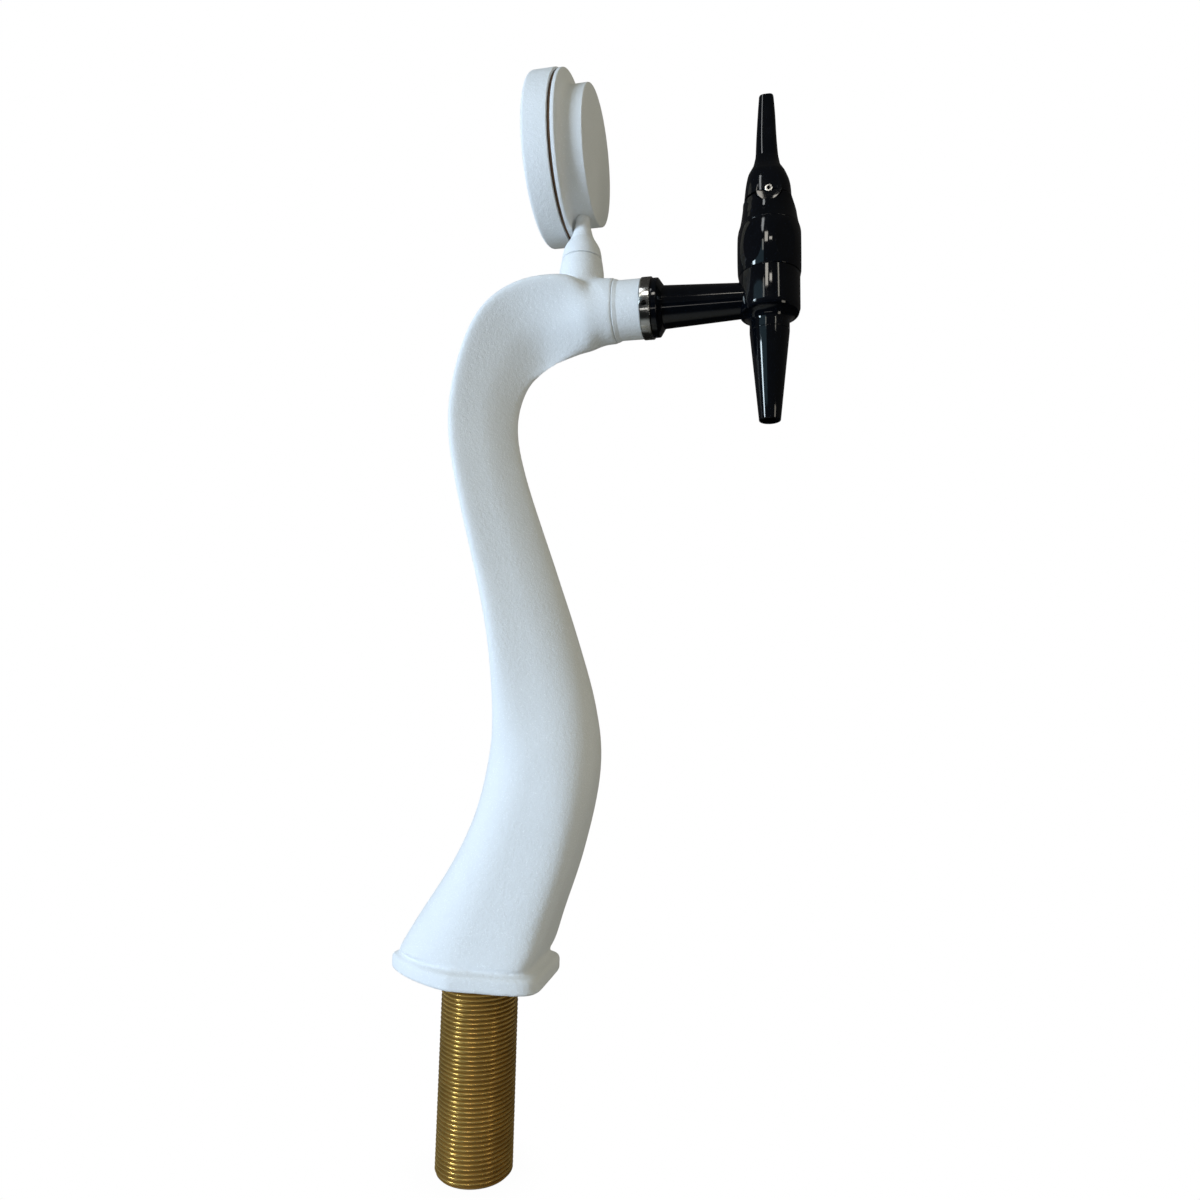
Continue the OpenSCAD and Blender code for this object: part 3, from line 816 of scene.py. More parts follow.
FOOT = Section(82.3, 54.5, 0.04, 7.5, 1.7)
SHIN = Section(62.0, 53.0, -0.09, 4.8, 2.2)
BELLY = Section(62.0, 53.0, -0.09, 3.0, 2.2)
WAIST = Section(36.4, 32.6, -0.6, 2.2, 7.0)
HOOD = Section(44.8, 32.0, -0.95, 1.9, 10.0)
NOSE = Section(36.0, 40.1, -0.15, 1.8, 2.4)
TIP = Section(33.8, 34.8, 0.0, 2.0, 2.0)
NECK_WAY = (
    Station(-0.101, 0.000, 0, FOOT, SHIN, 0.00),
    Station(0.149, 0.083, -20, FOOT, SHIN, 0.72),
    Station(0.359, 0.181, -20, FOOT, SHIN, 0.98),
    Station(0.481, 0.288, -8, BELLY, WAIST, 0.00),
    Station(0.481, 0.365, 6, BELLY, WAIST, 0.25),
    Station(0.391, 0.461, 13, BELLY, WAIST, 0.57),
    Station(0.248, 0.561, 16, BELLY, WAIST, 0.79),
    Station(-0.016, 0.722, 15, BELLY, WAIST, 0.98),
    Station(-0.105, 0.816, 4, BELLY, WAIST, 1.00),
    Station(-0.035, 0.892, -16, WAIST, HOOD, 0.28),
    Station(0.146, 0.946, -39, WAIST, HOOD, 1.00),
    Station(0.344, 0.972, -67, HOOD, NOSE, 0.00),
    Station(0.613, 0.985, -84, HOOD, NOSE, 0.42),
    Station(0.797, 0.988, -90, HOOD, NOSE, 1.00),
    Station(0.885, 0.997, -90, NOSE, TIP, 1.00),
)


@dataclass(frozen=True)
class BossStop:
    """A round section of the outlet boss: share of reach, drop, lean and share of the radius."""

    reach: float
    drop: float
    lean: float
    share: float


BOSS_WAY = (
    BossStop(0.30, 16.0, -52, 0.32),
    BossStop(0.38, 11.0, -60, 0.60),
    BossStop(0.48, 6.5, -70, 0.79),
    BossStop(0.60, 2.8, -80, 0.92),
    BossStop(0.74, 0.6, -88, 1.00),
    BossStop(0.87, 0.0, -90, 1.03),
    BossStop(1.00, 0.0, -90, 1.00),
)


@dataclass
class SwanNeck:
    """Hollow casting: flange, swan neck with a hooded top, outlet boss and pillar foot."""

    outlet_x: float = 69.5
    outlet_z: float = 380.1
    foot_z: float = 12.0
    wall: float = 5.0
    flange_x: float = -6.7
    flange_l: float = 93.3
    flange_w: float = 63.5
    flange_h: float = 9.0
    flange_skew: float = -0.07
    flange_front: float = 7.0
    flange_back: float = 1.27
    rim_low: float = 1.2
    rim_high: float = 2.6
    boss_r: float = 18.4
    pillar_x: float = 47.8
    pillar_z: float = 413.7
    bell_r: float = 13.5
    bell_fade: float = 5.0
    flank: Triple = (49.0, 13.5, 372.0)
    flank_r: float = 9.9
    flank_fade: float = 11.0
    hollow_rise: float = 1.2
    hollow_half: float = 0.68
    hollow_fade: float = 3.4
    seat_r: float = 21.505
    seat_h: float = 22.0
    way_r: float = 16.0
    bed_r: float = 14.45
    tail_r: float = 12.2
    stud_r: float = 4.05
    grain: float = 1.0
    sides: int = 144

    def rows(self) -> list[Vector]:
        """Returns the neck's stations as rows of numbers."""
        rows = []
        for stop in NECK_WAY:
            shape = stop.first.row().lerp(stop.second.row(), stop.share)
            height = self.foot_z + (self.outlet_z - self.foot_z) * stop.rise
            rows.append(Vector((stop.reach * self.outlet_x, height, stop.lean, *shape)))
        return rows

    def skin(self, inset: float, sides: int, steps: int) -> list[Ring]:
        """Makes the rings of the neck.

        Args:
            inset: distance that the rings lie inside the outer skin.
            sides: points of a ring.
            steps: rings from one station to the next.

        Returns:
            Rings of points.
        """
        less = Vector((0, 0, 0, 2 * inset, 2 * inset, 0, 0, 0))
        return [Rings.egg(row - less, sides) for row in Rings.smooth(self.rows(), steps)]

    def flange(self) -> list[Ring]:
        """Returns the rings of the rounded base flange, from its underside upwards."""
        low, high, top = self.rim_low, self.rim_high, self.flange_h
        steps = [(low * (1 - math.sin(a)), low * (1 - math.cos(a)))
                 for a in (math.radians(15 * k) for k in range(7))]
        steps += [(high * (1 - math.cos(a)), top - high * (1 - math.sin(a)))
                  for a in (math.radians(11.25 * k) for k in range(9))]
        steps += [(high + 1.2, top + 0.1), (high + 2.0, top + 0.6)]
        return [Rings.egg(Vector((self.flange_x, z, 0, self.flange_l - 2 * inset,
                                  self.flange_w - 2 * inset, self.flange_skew,
                                  self.flange_front, self.flange_back)), self.sides)
                for inset, z in steps]

    def boss(self) -> Piece:
        """Returns the outlet boss that grows out of the hood."""
        rows = [Vector((stop.reach * self.outlet_x, self.outlet_z - stop.drop, stop.lean,
                        *([2 * stop.share * self.boss_r] * 2), 0, 2, 2)) for stop in BOSS_WAY]
        return Bench.lofted("boss", [Rings.egg(row, 96) for row in Rings.smooth(rows, 6)])

    def pillar_foot(self) -> Piece:
        """Returns the bell-shaped foot of the badge's pillar."""
        return Bench.turned("pillar_foot", Spindle(Axis.Z, x=self.pillar_x), [
            (0, 388), (13.9, 388), (13.3, 405.7, 20), (12.1, self.pillar_z), (0, self.pillar_z)])

    def bell_corner(self, spot: Vector) -> float:
        """Returns 1 in the inner corner between boss and pillar foot and 0 off it."""
        off_bell = abs(math.hypot(spot.x - self.pillar_x, spot.y) - self.bell_r)
        off_boss = abs(math.hypot(spot.y, spot.z - self.outlet_z) - self.boss_r)
        return 1 - max(off_bell, off_boss) / self.bell_fade if spot.x > 30 else 0.0

    def flank_corner(self, spot: Vector) -> float:
        """Returns 1 where the boss runs out into the hood's flank and 0 off it."""
        off = Vector((spot.x, abs(spot.y), spot.z)) - Vector(self.flank)
        return 1 - (off.length - self.flank_r) / self.flank_fade

    def foot_corner(self, spot: Vector) -> float:
        """Returns 1 in the hollow between base flange and neck and 0 off it."""
        off = abs(spot.z - self.flange_h - self.hollow_rise)
        return 1 - (off - self.hollow_half) / self.hollow_fade

    def build(self) -> None:
        """Builds the casting, hollows it and coats it."""
        shell = Bench.lofted("shell", self.flange() + self.skin(0, self.sides, 8))
        shells = [shell, self.boss(), self.pillar_foot()]
        piece = Bench.fused("neck_casting", shells, self.grain, 3)
        for corner, passes in ((self.flank_corner, 150), (self.bell_corner, 24),
                               (self.foot_corner, 10)):
            Bench.modify(piece, "SMOOTH", corner, iterations=passes)
        steps = 4
        hollow = self.skin(self.wall, 48, steps)[steps:-2 * steps]
        Bench.carve(piece, Bench.lofted("hollow", hollow))
        base, outlet = Spindle(Axis.Z), Spindle(Axis.X, z=self.outlet_z)
        pillar = Spindle(Axis.Z, x=self.pillar_x)
        for bore in (("seat", base, self.seat_r, -2, self.seat_h),
                     ("way", base, self.way_r, self.seat_h - 0.1, 48.5),
                     ("tail_way", outlet, self.tail_r, 36, 53),
                     ("bed", outlet, self.bed_r, 52, 72),
                     ("stud", pillar, self.stud_r, self.pillar_z - 12.5, self.pillar_z + 2.3)):
            Bench.carve(piece, Bench.rod(*bore))
        Dresser.dress(piece, WHITE_COAT, "font_body", 40)


@dataclass
class ThreadedStem:
    """Brass stem with a cut pipe thread and a seat inside the casting.

    Args:
        shape: thread depths from root 0 to crest 1 over one pitch.
        places: their places as shares of the pitch.
    """

    radius: float = 20.955
    pitch: float = 2.309
    depth: float = 1.479
    length: float = 100.0
    bore: float = 16.0
    seat_r: float = 21.455
    seat_h: float = 22.0
    lead: float = 1.5
    shape: tuple[float, ...] = (0.0, 0.03, 0.14, 0.5, 0.86, 0.97, 1.0)
    places: tuple[float, ...] = (0.0, 0.06, 0.12, 0.25, 0.38, 0.44, 0.5)

    def helix(self) -> Piece:
        """Returns the thread's skin with flat ends, swept from one pitch of its outline."""
        shape = (*self.shape, *self.shape[-2::-1])
        places = (*self.places, *(1 - place for place in self.places[-2::-1]))
        start = -self.length - 2 * self.pitch
        piece = Bench.drawn("brass_stem", [
            Vector((self.radius - self.depth * (1 - r), 0, z * self.pitch + start)) * MM
            for r, z in zip(shape, places)])
        Bench.modify(piece, "SCREW", axis="Z", angle=FULL_TURN, screw_offset=self.pitch * MM,
                     iterations=math.ceil(self.length / self.pitch) + 4, steps=72,
                     render_steps=72, use_merge_vertices=True, merge_threshold=0.01 * MM)
        for level, above in ((-self.length, True), (0.0, False)):
            Bench.slice(piece, (0, 0, level), (0, 0, 1), above)
        with Bench.editing():
            Bench.sew()
        return piece

    def build(self) -> None:
        """Builds the stem and gives it its brass."""
        piece = self.helix()
        low, wide, axis = -self.length, self.radius + 0.1, Spindle(Axis.Z)
        envelope = Bench.turned("envelope", axis, [
            (0, low), (self.radius - self.lead, low), (wide, low + self.lead + 0.1), (wide, 2),
            (0, 2)])
        Bench.carve(piece, envelope, Cut.KEEP)
        Bench.carve(piece, Bench.rod("seat", axis, self.seat_r, 0, self.seat_h), Cut.ADD)
        Bench.carve(piece, Bench.rod("bore", axis, self.bore, low - 2, self.seat_h + 2))
        Dresser.dress(piece, BRASS_THREAD, "threaded_stem", 34)


@dataclass
class Outlet:
    """White spigot in the boss and the chrome ring that locks the tap on it."""

    level: float = 380.1
    face: float = 69.5
    end: float = 85.6
    ring_end: float = 91.6
    boss_r: float = 18.4
    spigot_r: float = 17.0
    ring_r: float = 17.6
    thread_r: float = 11.5
    tail_r: float = 14.4
    tail_x: float = 52.0
    thread_x: float = 65.5
    way_r: float = 7.35
    hole_r: float = 1.45
    hole_turn: float = 15.0
    holes: int = 4

    def spindle(self) -> Spindle:
        """Returns the outlet's axis."""
        return Spindle(Axis.X, z=self.level)

    def spigot(self) -> None:
        """Builds the turned spigot."""
        piece = Bench.turned("spigot", self.spindle(), [
            (self.way_r, self.tail_x), (self.tail_r, self.tail_x, 0.4), (self.tail_r, self.face),
            (self.boss_r - 0.2, self.face, 0.5), (self.spigot_r, self.face + 2.8, 0.8),
            (self.spigot_r, self.end, 0.5), (self.thread_r, self.end),
            (self.thread_r, self.thread_x), (self.way_r, self.thread_x),
            (self.way_r, self.tail_x)])
        Dresser.dress(piece, WHITE_COAT, "outlet_spigot")

    def lock_ring(self) -> None:
        """Builds the lock ring with its radial spanner holes."""
        piece = Bench.turned("chrome_ring", self.spindle(), [
            (self.thread_r, self.end), (self.ring_r, self.end, 0.5),
            (self.ring_r, self.ring_end, 0.5), (self.thread_r, self.ring_end),
            (self.thread_r, self.end)])
        middle = Vector(((self.end + self.ring_end) / 2, 0, self.level)) * MM
        for i in range(self.holes):
            turn = math.radians(90 + self.hole_turn + 360 * i / self.holes)
            cutter = Bench.rod("hole", Spindle(Axis.Z), self.hole_r, 0, 2 * self.ring_r, 40)
            cutter.data.transform(Matrix.Translation(middle) @ Matrix.Rotation(turn, 4, "X"))
            Bench.carve(piece, cutter)
        Dresser.dress(piece, CHROME, "lock_ring")

    def build(self) -> None:
        """Builds both pieces."""
        self.spigot()
        self.lock_ring()


@dataclass
class Tap:
    """Black plunger tap: body, nozzle, bonnet, cap, pin and lever."""

    x: float = 158.0
    level: float = 380.1
    tip_z: float = 308.5
    tail_z: float = 352.0
    seam_z: float = 360.0
    cove_z: float = 364.3
    seat_z: float = 372.2
    bonnet_z: float = 393.0
    neck_z: float = 407.0
    bonnet_h: float = 28.0
    body_r: float = 17.15
    neck_r: float = 14.15
    top_r: float = 11.15
    tail_r: float = 8.35
    way_r: float = 5.5
    tip_r: float = 6.0
    tip_way_r: float = 4.6
    cove_r: float = 6.0
    chamber_r: float = 12.0
    shank_r: float = 11.45
    shank_x: float = 70.0
    collar_r: float = 16.7
    collar_x: float = 91.6
    arm_x: float = 97.9
    arm_end: float = 143.8
    barrel_r: float = 18.75
    barrel_rise: float = 1.4
    flats: int = 6
    flat_depth: float = 1.0
    flat_rim: float = 0.5
    cap_z: float = 392.0
    cap_top: float = 437.4
    cap_r: float = 11.95
    rod_r: float = 4.55
    spring_r: float = 8.2
    front_lean: float = 67.0
    pivot_z: float = 438.9
    pin_r: float = 2.3
    pin_bore: float = 1.15
    pin_half: float = 14.0
    ear_r: float = 7.2
    ear_y: tuple[float, float] = (10.5, 13.4)
    lever_base: float = 438.0
    lever_top: float = 502.1
    lever_rim: float = 0.3
    lever_square: tuple[float, float] = (2.4, 4.0)
    lever_rows: tuple[tuple[float, float, float, float], ...] = (
        (0.000, 14.2, 12.8, 14.2), (0.130, 13.3, 12.1, 13.7), (0.220, 12.2, 10.2, 12.4),
        (0.265, 11.0, 8.8, 11.0), (0.320, 9.2, 6.8, 9.4), (0.385, 8.2, 5.9, 8.0),
        (0.440, 7.6, 5.3, 7.4), (0.620, 7.1, 4.4, 7.2), (0.840, 6.3, 3.7, 6.8),
        (1.000, 5.6, 2.9, 6.4))

    def upright(self) -> Spindle:
        """Returns the tap's upright axis."""
        return Spindle(Axis.Z, x=self.x)

    def across(self) -> Spindle:
        """Returns the axis of the lever's pin."""
        return Spindle(Axis.Y, x=self.x, z=self.pivot_z)

    def body(self) -> None:
        """Builds the body with its arm, collar, shank and beer way."""
        cove = [(self.top_r + self.cove_r * (1 + math.cos(a)),
                 self.cove_z + self.cove_r * math.sin(a))
                for a in (math.radians(180 - 82 * k / 14) for k in range(15))]
        piece = Bench.turned("tap_casting", self.upright(), [
            (self.way_r, self.tail_z), (self.tail_r, self.tail_z), (self.tail_r, self.seam_z),
            (self.top_r, self.seam_z, 0.25), *cove, (self.body_r - 0.5, 371.2, 0.5),
            (self.body_r, 373.0, 1.2), (self.body_r, self.bonnet_z, 0.4),
            (self.neck_r, self.bonnet_z), (self.neck_r, self.neck_z),
            (self.chamber_r, self.neck_z), (self.chamber_r, self.seat_z),
            (self.way_r, self.seat_z), (self.way_r, self.tail_z)])
        axis = Spindle(Axis.X, z=self.level)
        arm = Bench.turned("arm", axis, [
            (0, self.shank_x), (self.shank_r, self.shank_x, 0.6), (self.shank_r, self.collar_x),
            (self.collar_r, self.collar_x, 0.4), (self.collar_r, self.collar_x + 3.5, 0.8),
            (12.6, self.arm_x, 0.8), (12.2, self.arm_x, 0.1), (9.85, self.arm_end),
            (0, self.arm_end)])
        Bench.carve(piece, arm, Cut.ADD)
        Bench.carve(piece, Bench.rod("beer_way", axis, 5, self.shank_x - 2, self.x, 64))
        Dresser.dress(piece, BLACK_GLOSS, "tap_body", 30)

    def nozzle(self) -> None:
        """Builds the tapered nozzle."""
        socket_r = self.tail_r + 0.05
        piece = Bench.turned("pouring_nozzle", self.upright(), [
            (self.tip_way_r, self.tip_z), (self.tip_r, self.tip_z, 0.5),
            (self.top_r, self.seam_z, 0.25), (socket_r, self.seam_z), (socket_r, self.tail_z),
            (self.way_r, self.tail_z), (self.tip_way_r, self.tip_z)])
        Dresser.dress(piece, BLACK_GLOSS, "nozzle", 30)

    def bonnet(self) -> None:
        """Builds the barrel-shaped bonnet and mills its finger flats."""
        low, high = self.bonnet_z, self.bonnet_z + self.bonnet_h
        mid = (low + high) / 2
        curve = (self.bonnet_h ** 2 / 4 + self.barrel_rise ** 2) / (2 * self.barrel_rise)
        barrel = [(self.barrel_r - curve + math.sqrt(curve ** 2 - h ** 2), mid + h,
                   0.4 if abs(k) == 12 else 0)
                  for k, h in ((k, k / 24 * self.bonnet_h) for k in range(-12, 13))]
        bore_r, step_z = self.neck_r + 0.05, self.neck_z + 0.3
        piece = Bench.turned("bonnet_barrel", self.upright(), [
            (bore_r, low), *barrel, (self.chamber_r, high), (self.chamber_r, step_z),
            (bore_r, step_z), (bore_r, low)])
        size = Vector((10, 40, 60))
        reach = self.barrel_r - self.flat_depth + size.x / 2
        for i in range(self.flats):
            cutter = Bench.block("flat", size, (reach, 0, 0))
            cutter.data.transform(Matrix.Translation(Vector((self.x, 0, mid)) * MM)
                                  @ Matrix.Rotation(FULL_TURN * i / self.flats, 4, "Z"))
            Bench.carve(piece, cutter)
        Bench.modify(piece, "BEVEL", self.on_flat, limit_method="VGROUP",
                     width=self.flat_rim * MM, segments=3)
        Dresser.dress(piece, BLACK_GLOSS, "bonnet", 20)

    def on_flat(self, spot: Vector) -> float:
        """Returns 1 on a finger flat of the bonnet and 0 off it."""
        pitch = FULL_TURN / self.flats
        turn = math.atan2(spot.y, spot.x - self.x)
        depth = math.hypot(spot.x - self.x, spot.y) * math.cos(turn - pitch * round(turn / pitch))
        return 1.0 if abs(depth - self.barrel_r + self.flat_depth) < 0.01 else 0.0

    def cap(self) -> None:
        """Builds the cap with its rod hole, ring grooves, ear slots and sloped front."""
        low, top = self.cap_z, self.bonnet_z + self.bonnet_h
        piece = Bench.turned("cap_guide", self.upright(), [
            (self.spring_r, low), (self.cap_r, low), (self.cap_r, low + 6), (10, low + 6),
            (10, low + 8), (self.cap_r, low + 8), (self.cap_r, top), (17.25, top, 0.3),
            (16.45, top + 3, 4), (15.75, top + 7, 6), (14.95, top + 13, 8),
            (14.85, self.cap_top, 0.6), (self.rod_r, self.cap_top), (self.rod_r, top + 1.8),
            (6.2, top + 1.8), (6.2, top + 0.2), (self.rod_r, top + 0.2), (self.rod_r, low + 22),
            (self.spring_r, low + 22), (self.spring_r, low)])
        for side in (-1, 1):
            Bench.carve(piece, Bench.rod("ear_slot", self.across(), self.ear_r + 0.6,
                                         side * (self.ear_y[0] - 0.6), side * 20))
        pivot = (self.x, 0, self.pivot_z)
        Bench.carve(piece, Bench.block("pin_slot", (5.8, 40, 5.8), pivot))
        lean = math.radians(self.front_lean)
        Bench.slice(piece, (self.x + 12.25, 0, self.cap_top),
                    (math.sin(lean), 0, math.cos(lean)), False)
        Dresser.dress(piece, BLACK_GLOSS, "bonnet_cap", 30)

    def pin(self) -> None:
        """Builds the hollow pivot pin."""
        end = self.pin_half
        piece = Bench.turned("hollow_pin", self.across(), [
            (self.pin_bore, -end), (self.pin_r, -end, 0.3), (self.pin_r, end, 0.3),
            (self.pin_bore, end), (self.pin_bore, -end)], 48)
        Dresser.dress(piece, CHROME, "pivot_pin", body=Body.PLUNGER)

    def lever_rings(self) -> list[Ring]:
        """Returns the rings of the lever's grip, rounded at both ends."""
        rows = []
        first, last = self.lever_square
        for share, back, front, half in Rings.smooth([Vector(r) for r in self.lever_rows], 10):
            z = self.lever_base + (self.lever_top - self.lever_base) * share
            square = first + (last - first) * share
            rows.append(Vector((self.x + (front - back) / 2, z, 0, back + front, 2 * half, 0,
                                square, square)))
        less = Vector((0, 0, 0, self.lever_rim, self.lever_rim, 0, 0, 0))
        step = Vector((0, self.lever_rim / 2, 0, 0, 0, 0, 0, 0))
        rows = [rows[0] - less, rows[0] + step, *rows[1:-1], rows[-1] - step, rows[-1] - less]
        return [Rings.egg(row, 144) for row in rows]

    def lever(self) -> None:
        """Builds the cam lever with its ears, slot and pin hole."""
        piece = Bench.lofted("cam_lever", self.lever_rings())
        for inner, outer in (tuple(side * y for y in self.ear_y) for side in (-1, 1)):
            ear = Bench.turned("ear", self.across(), [
                (0, inner), (self.ear_r, inner), (self.ear_r, outer, 0.5), (0, outer)])
            Bench.carve(piece, ear, Cut.ADD)
        Bench.carve(piece, Bench.block("slot", (17, 9.6, 20), (self.x, 0, self.lever_base)))
        Bench.carve(piece, Bench.rod("pin_hole", self.across(), self.pin_r + 0.05, -20, 20, 48))
        Dresser.dress(piece, BLACK_GLOSS, "lever", 30, Body.LEVER)

    def build(self) -> None:
        """Builds the tap from the nozzle up."""
        for step in (self.nozzle, self.body, self.bonnet, self.cap, self.pin, self.lever):
            step()


@dataclass
class Badge:
    """Round badge holder: turned stem, drum, gasket, bezel, clear front and blank disc."""

    level: float = 479.9
    pillar_x: float = 47.8
    pillar_z: float = 413.7
    front: float = 21.9
    lens_x: float = 24.9
    disc_x: float = 27.9
    disc_end: float = 29.4
    bezel_end: float = 37.4
    gasket_end: float = 39.3
    rim_end: float = 41.9
    back: float = 55.6
    bezel_r: float = 49.1
    bore_r: float = 46.4
    lip_r: float = 43.7
    rim_r: float = 48.5
    drum_r: float = 39.3
    drum_bore: float = 34.3
    gasket_r: float = 47.8
    joint_r: float = 47.1
    joint: float = 0.3
    cove: float = 4.5
    stud_r: float = 4.05
    peg_r: float = 4.3
    sides: int = 160

    def stem(self) -> Outline:
        """Returns the turned stem with its faint ring steps."""
        rise = [
            (self.stud_r, 0), (11.95, 0, 0.4), (11.6, 3.3, 8), (10.7, 6.9, 8), (9.2, 9.7, 8),
            (7.5, 12.5, 0.4), (7.1, 12.9, 0.2), (7.1, 13.4, 0.2), (6.3, 15.3, 3), (5.6, 17.8, 3),
            (4.9, 20.6, 4), (self.peg_r, 23.9, 2), (self.peg_r, 31.9), (0, 31.9), (0, 12.55),
            (self.stud_r, 12.55), (self.stud_r, 0)]
        return [(radius, self.pillar_z + z, *fillet) for radius, z, *fillet in rise]

    def housing(self) -> Outline:
        """Returns the flanged drum with the hollow sweep between rim and drum."""
        sweep = [(self.drum_r + self.cove * (1 - math.sin(a)),
                  self.rim_end + self.cove * (1 - math.cos(a)))
                 for a in (math.radians(7.5 * k) for k in range(13))]
        outer, inner, floor = self.bore_r - 0.05, self.bore_r - 4.05, self.back - 3
        return [(0, floor), (self.drum_bore, floor), (self.drum_bore, self.rim_end),
                (inner, self.rim_end - 2), (inner, self.disc_end), (outer, self.disc_end),
                (outer, self.gasket_end), (self.rim_r, self.gasket_end, 0.3),
                (self.rim_r, self.rim_end, 0.9), *sweep, (self.drum_r, self.back, 0.8),
                (0, self.back)]

    def gasket(self) -> Outline:
        """Returns the brown gasket with a dark joint on both sides."""
        low, high = self.bezel_end, self.gasket_end
        return [(self.bore_r, low), (self.joint_r, low), (self.joint_r, low + self.joint),
                (self.gasket_r, low + self.joint, 0.25), (self.gasket_r, high - self.joint, 0.25),
                (self.joint_r, high - self.joint), (self.joint_r, high), (self.bore_r, high),
                (self.bore_r, low)]

    def bezel(self) -> Outline:
        """Returns the bezel with its rounded front."""
        return [(self.lip_r, self.front + 0.4), (self.lip_r + 0.6, self.front, 0.4),
                (self.bezel_r, self.front, 4), (self.bezel_r, self.bezel_end, 0.5),
                (self.bore_r, self.bezel_end), (self.bore_r, self.lens_x),
                (self.lip_r, self.lens_x), (self.lip_r, self.front + 0.4)]

    def lens(self) -> Outline:
        """Returns the clear front."""
        edge = self.bore_r - 0.05
        return [(0, self.lens_x), (43, self.lens_x), (edge, self.lens_x, 0.3),
                (edge, self.disc_x, 0.3), (0, self.disc_x)]

    def disc(self) -> Outline:
        """Returns the blank disc behind the clear front."""
        edge, face = self.bore_r - 0.05, self.disc_x + 0.05
        return [(0, face), (edge, face, 0.2), (edge, self.disc_end, 0.2), (0, self.disc_end)]

    def build(self) -> None:
        """Builds the badge from its stem to its front."""
        pillar, axis = Spindle(Axis.Z, x=self.pillar_x), Spindle(Axis.X, z=self.level)
        stem = Bench.turned("turned_stem", pillar, self.stem(), 96)
        Dresser.dress(stem, WHITE_COAT, "badge_stem")
        drum = Bench.turned("badge_drum", axis, self.housing(), self.sides)
        Bench.carve(drum, Bench.rod("socket", pillar, self.peg_r + 0.05, 434.5, 449.7))
        Dresser.dress(drum, WHITE_COAT, "badge_housing")
        for name, outline, finish, node in (
                ("joint_gasket", self.gasket(), GASKET, "badge_gasket"),
                ("round_bezel", self.bezel(), WHITE_COAT, "badge_bezel"),
                ("clear_front", self.lens(), LENS, "badge_lens"),
                ("blank_disc", self.disc(), DISC, "badge_disc")):
            Dresser.dress(Bench.turned(name, axis, outline, self.sides), finish, node)


@dataclass
class Inside:
    """Beer line in the neck, the return spring and the small parts that stay as they are."""

    line_r: float = 6.35
    bore_r: float = 4.75
    route: tuple[tuple[float, float], ...] = ((62.5, 380.1), (38.5, 380.1))
    tail: tuple[tuple[float, float], ...] = ((0.0, 11.0), (0.0, -33.3), (0.0, -95.0))
    coil_r: float = 6.4
    wire_r: float = 0.8
    turns: int = 6
    tap_x: float = 158.0
    lift: float = 5.498
    steel: tuple[str, ...] = ("hose_tail", "plunger", "badge_stud")
    rubber: tuple[str, ...] = ("shank_seal", "cap_o_ring", "rod_o_ring", "plunger_seal")

    @staticmethod
    def spokes(radius: float, count: int) -> list[tuple[float, float]]:
        """Returns the points of a circle."""
        return [(radius * math.cos(FULL_TURN * k / count), radius * math.sin(FULL_TURN * k / count))
                for k in range(count)]

    def rings(self, radius: float) -> list[Ring]:
        """Returns round rings at the stops of the line's route, square to its direction."""
        neck = [(row[0], row[1]) for row in SwanNeck().rows()[11:0:-1]]
        stops = [Vector(stop) for stop in (*self.route, *neck, *self.tail)]
        ways = [Vector((-1, 0)), *(b - a for a, b in zip(stops, stops[2:])), Vector((0, -1))]
        return [[Vector((stop.x - way.y * u, v, stop.y + way.x * u))
                 for u, v in self.spokes(radius, 32)]
                for stop, way in zip(stops, (way.normalized() for way in ways))]

    def line(self) -> None:
        """Builds the beer line as a smooth tube along the neck."""
        piece = Bench.lofted("beer_hose", self.rings(self.line_r))
        Bench.carve(piece, Bench.lofted("bore", self.rings(self.bore_r)))
        Dresser.dress(piece, LINE, "beer_line", 40)

    def spring(self) -> None:
        """Builds the return spring as a coil between the ends of the frame's spring."""
        low, high = (corner[2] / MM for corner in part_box("return_spring"))
        steps = 32 * self.turns
        rings = []
        for share in (j / steps for j in range(steps + 1)):
            turn = FULL_TURN * self.turns * share
            z = low + self.wire_r + (high - low - 2 * self.wire_r) * share
            rings.append([Vector((self.tap_x + (self.coil_r + u) * math.cos(turn),
                                  (self.coil_r + u) * math.sin(turn), z + v))
                          for u, v in self.spokes(self.wire_r, 12)])
        piece = Bench.lofted("coil_spring", rings)
        Dresser.dress(piece, STEEL, "return_spring", 40)
        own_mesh(piece)

    def build(self) -> None:
        """Builds the line and the spring and paints the parts that stay."""
        self.line()
        self.spring()
        for nodes, finish in ((self.steel, STEEL), (self.rubber, RUBBER)):
            for node in nodes:
                Dresser.paint(node, finish)


@dataclass(frozen=True)
class Lamp:
    """A soft area lamp, in metres."""

    name: str
    place: Triple
    size: tuple[float, float]
    watts: float
    tone: Triple
    aim: Triple = (0.158, 0.0, 0.4)
    mirrored: bool = True
    lighting: bool = False

    def build(self) -> None:
        """Adds the lamp, turned to its aim."""
        data = bpy.data.lights.new(self.name, "AREA")
        data.shape = "RECTANGLE"
        data.size, data.size_y = self.size
        data.energy = self.watts
        data.color = self.tone
        lamp = bpy.data.objects.new(self.name, data)
        lamp.location = self.place
        ahead = Vector(self.aim) - Vector(self.place)
        lamp.rotation_euler = ahead.to_track_quat("-Z", "Y").to_euler()
        lamp.visible_glossy = self.mirrored
        lamp.visible_diffuse = self.lighting
        bpy.context.scene.collection.objects.link(lamp)


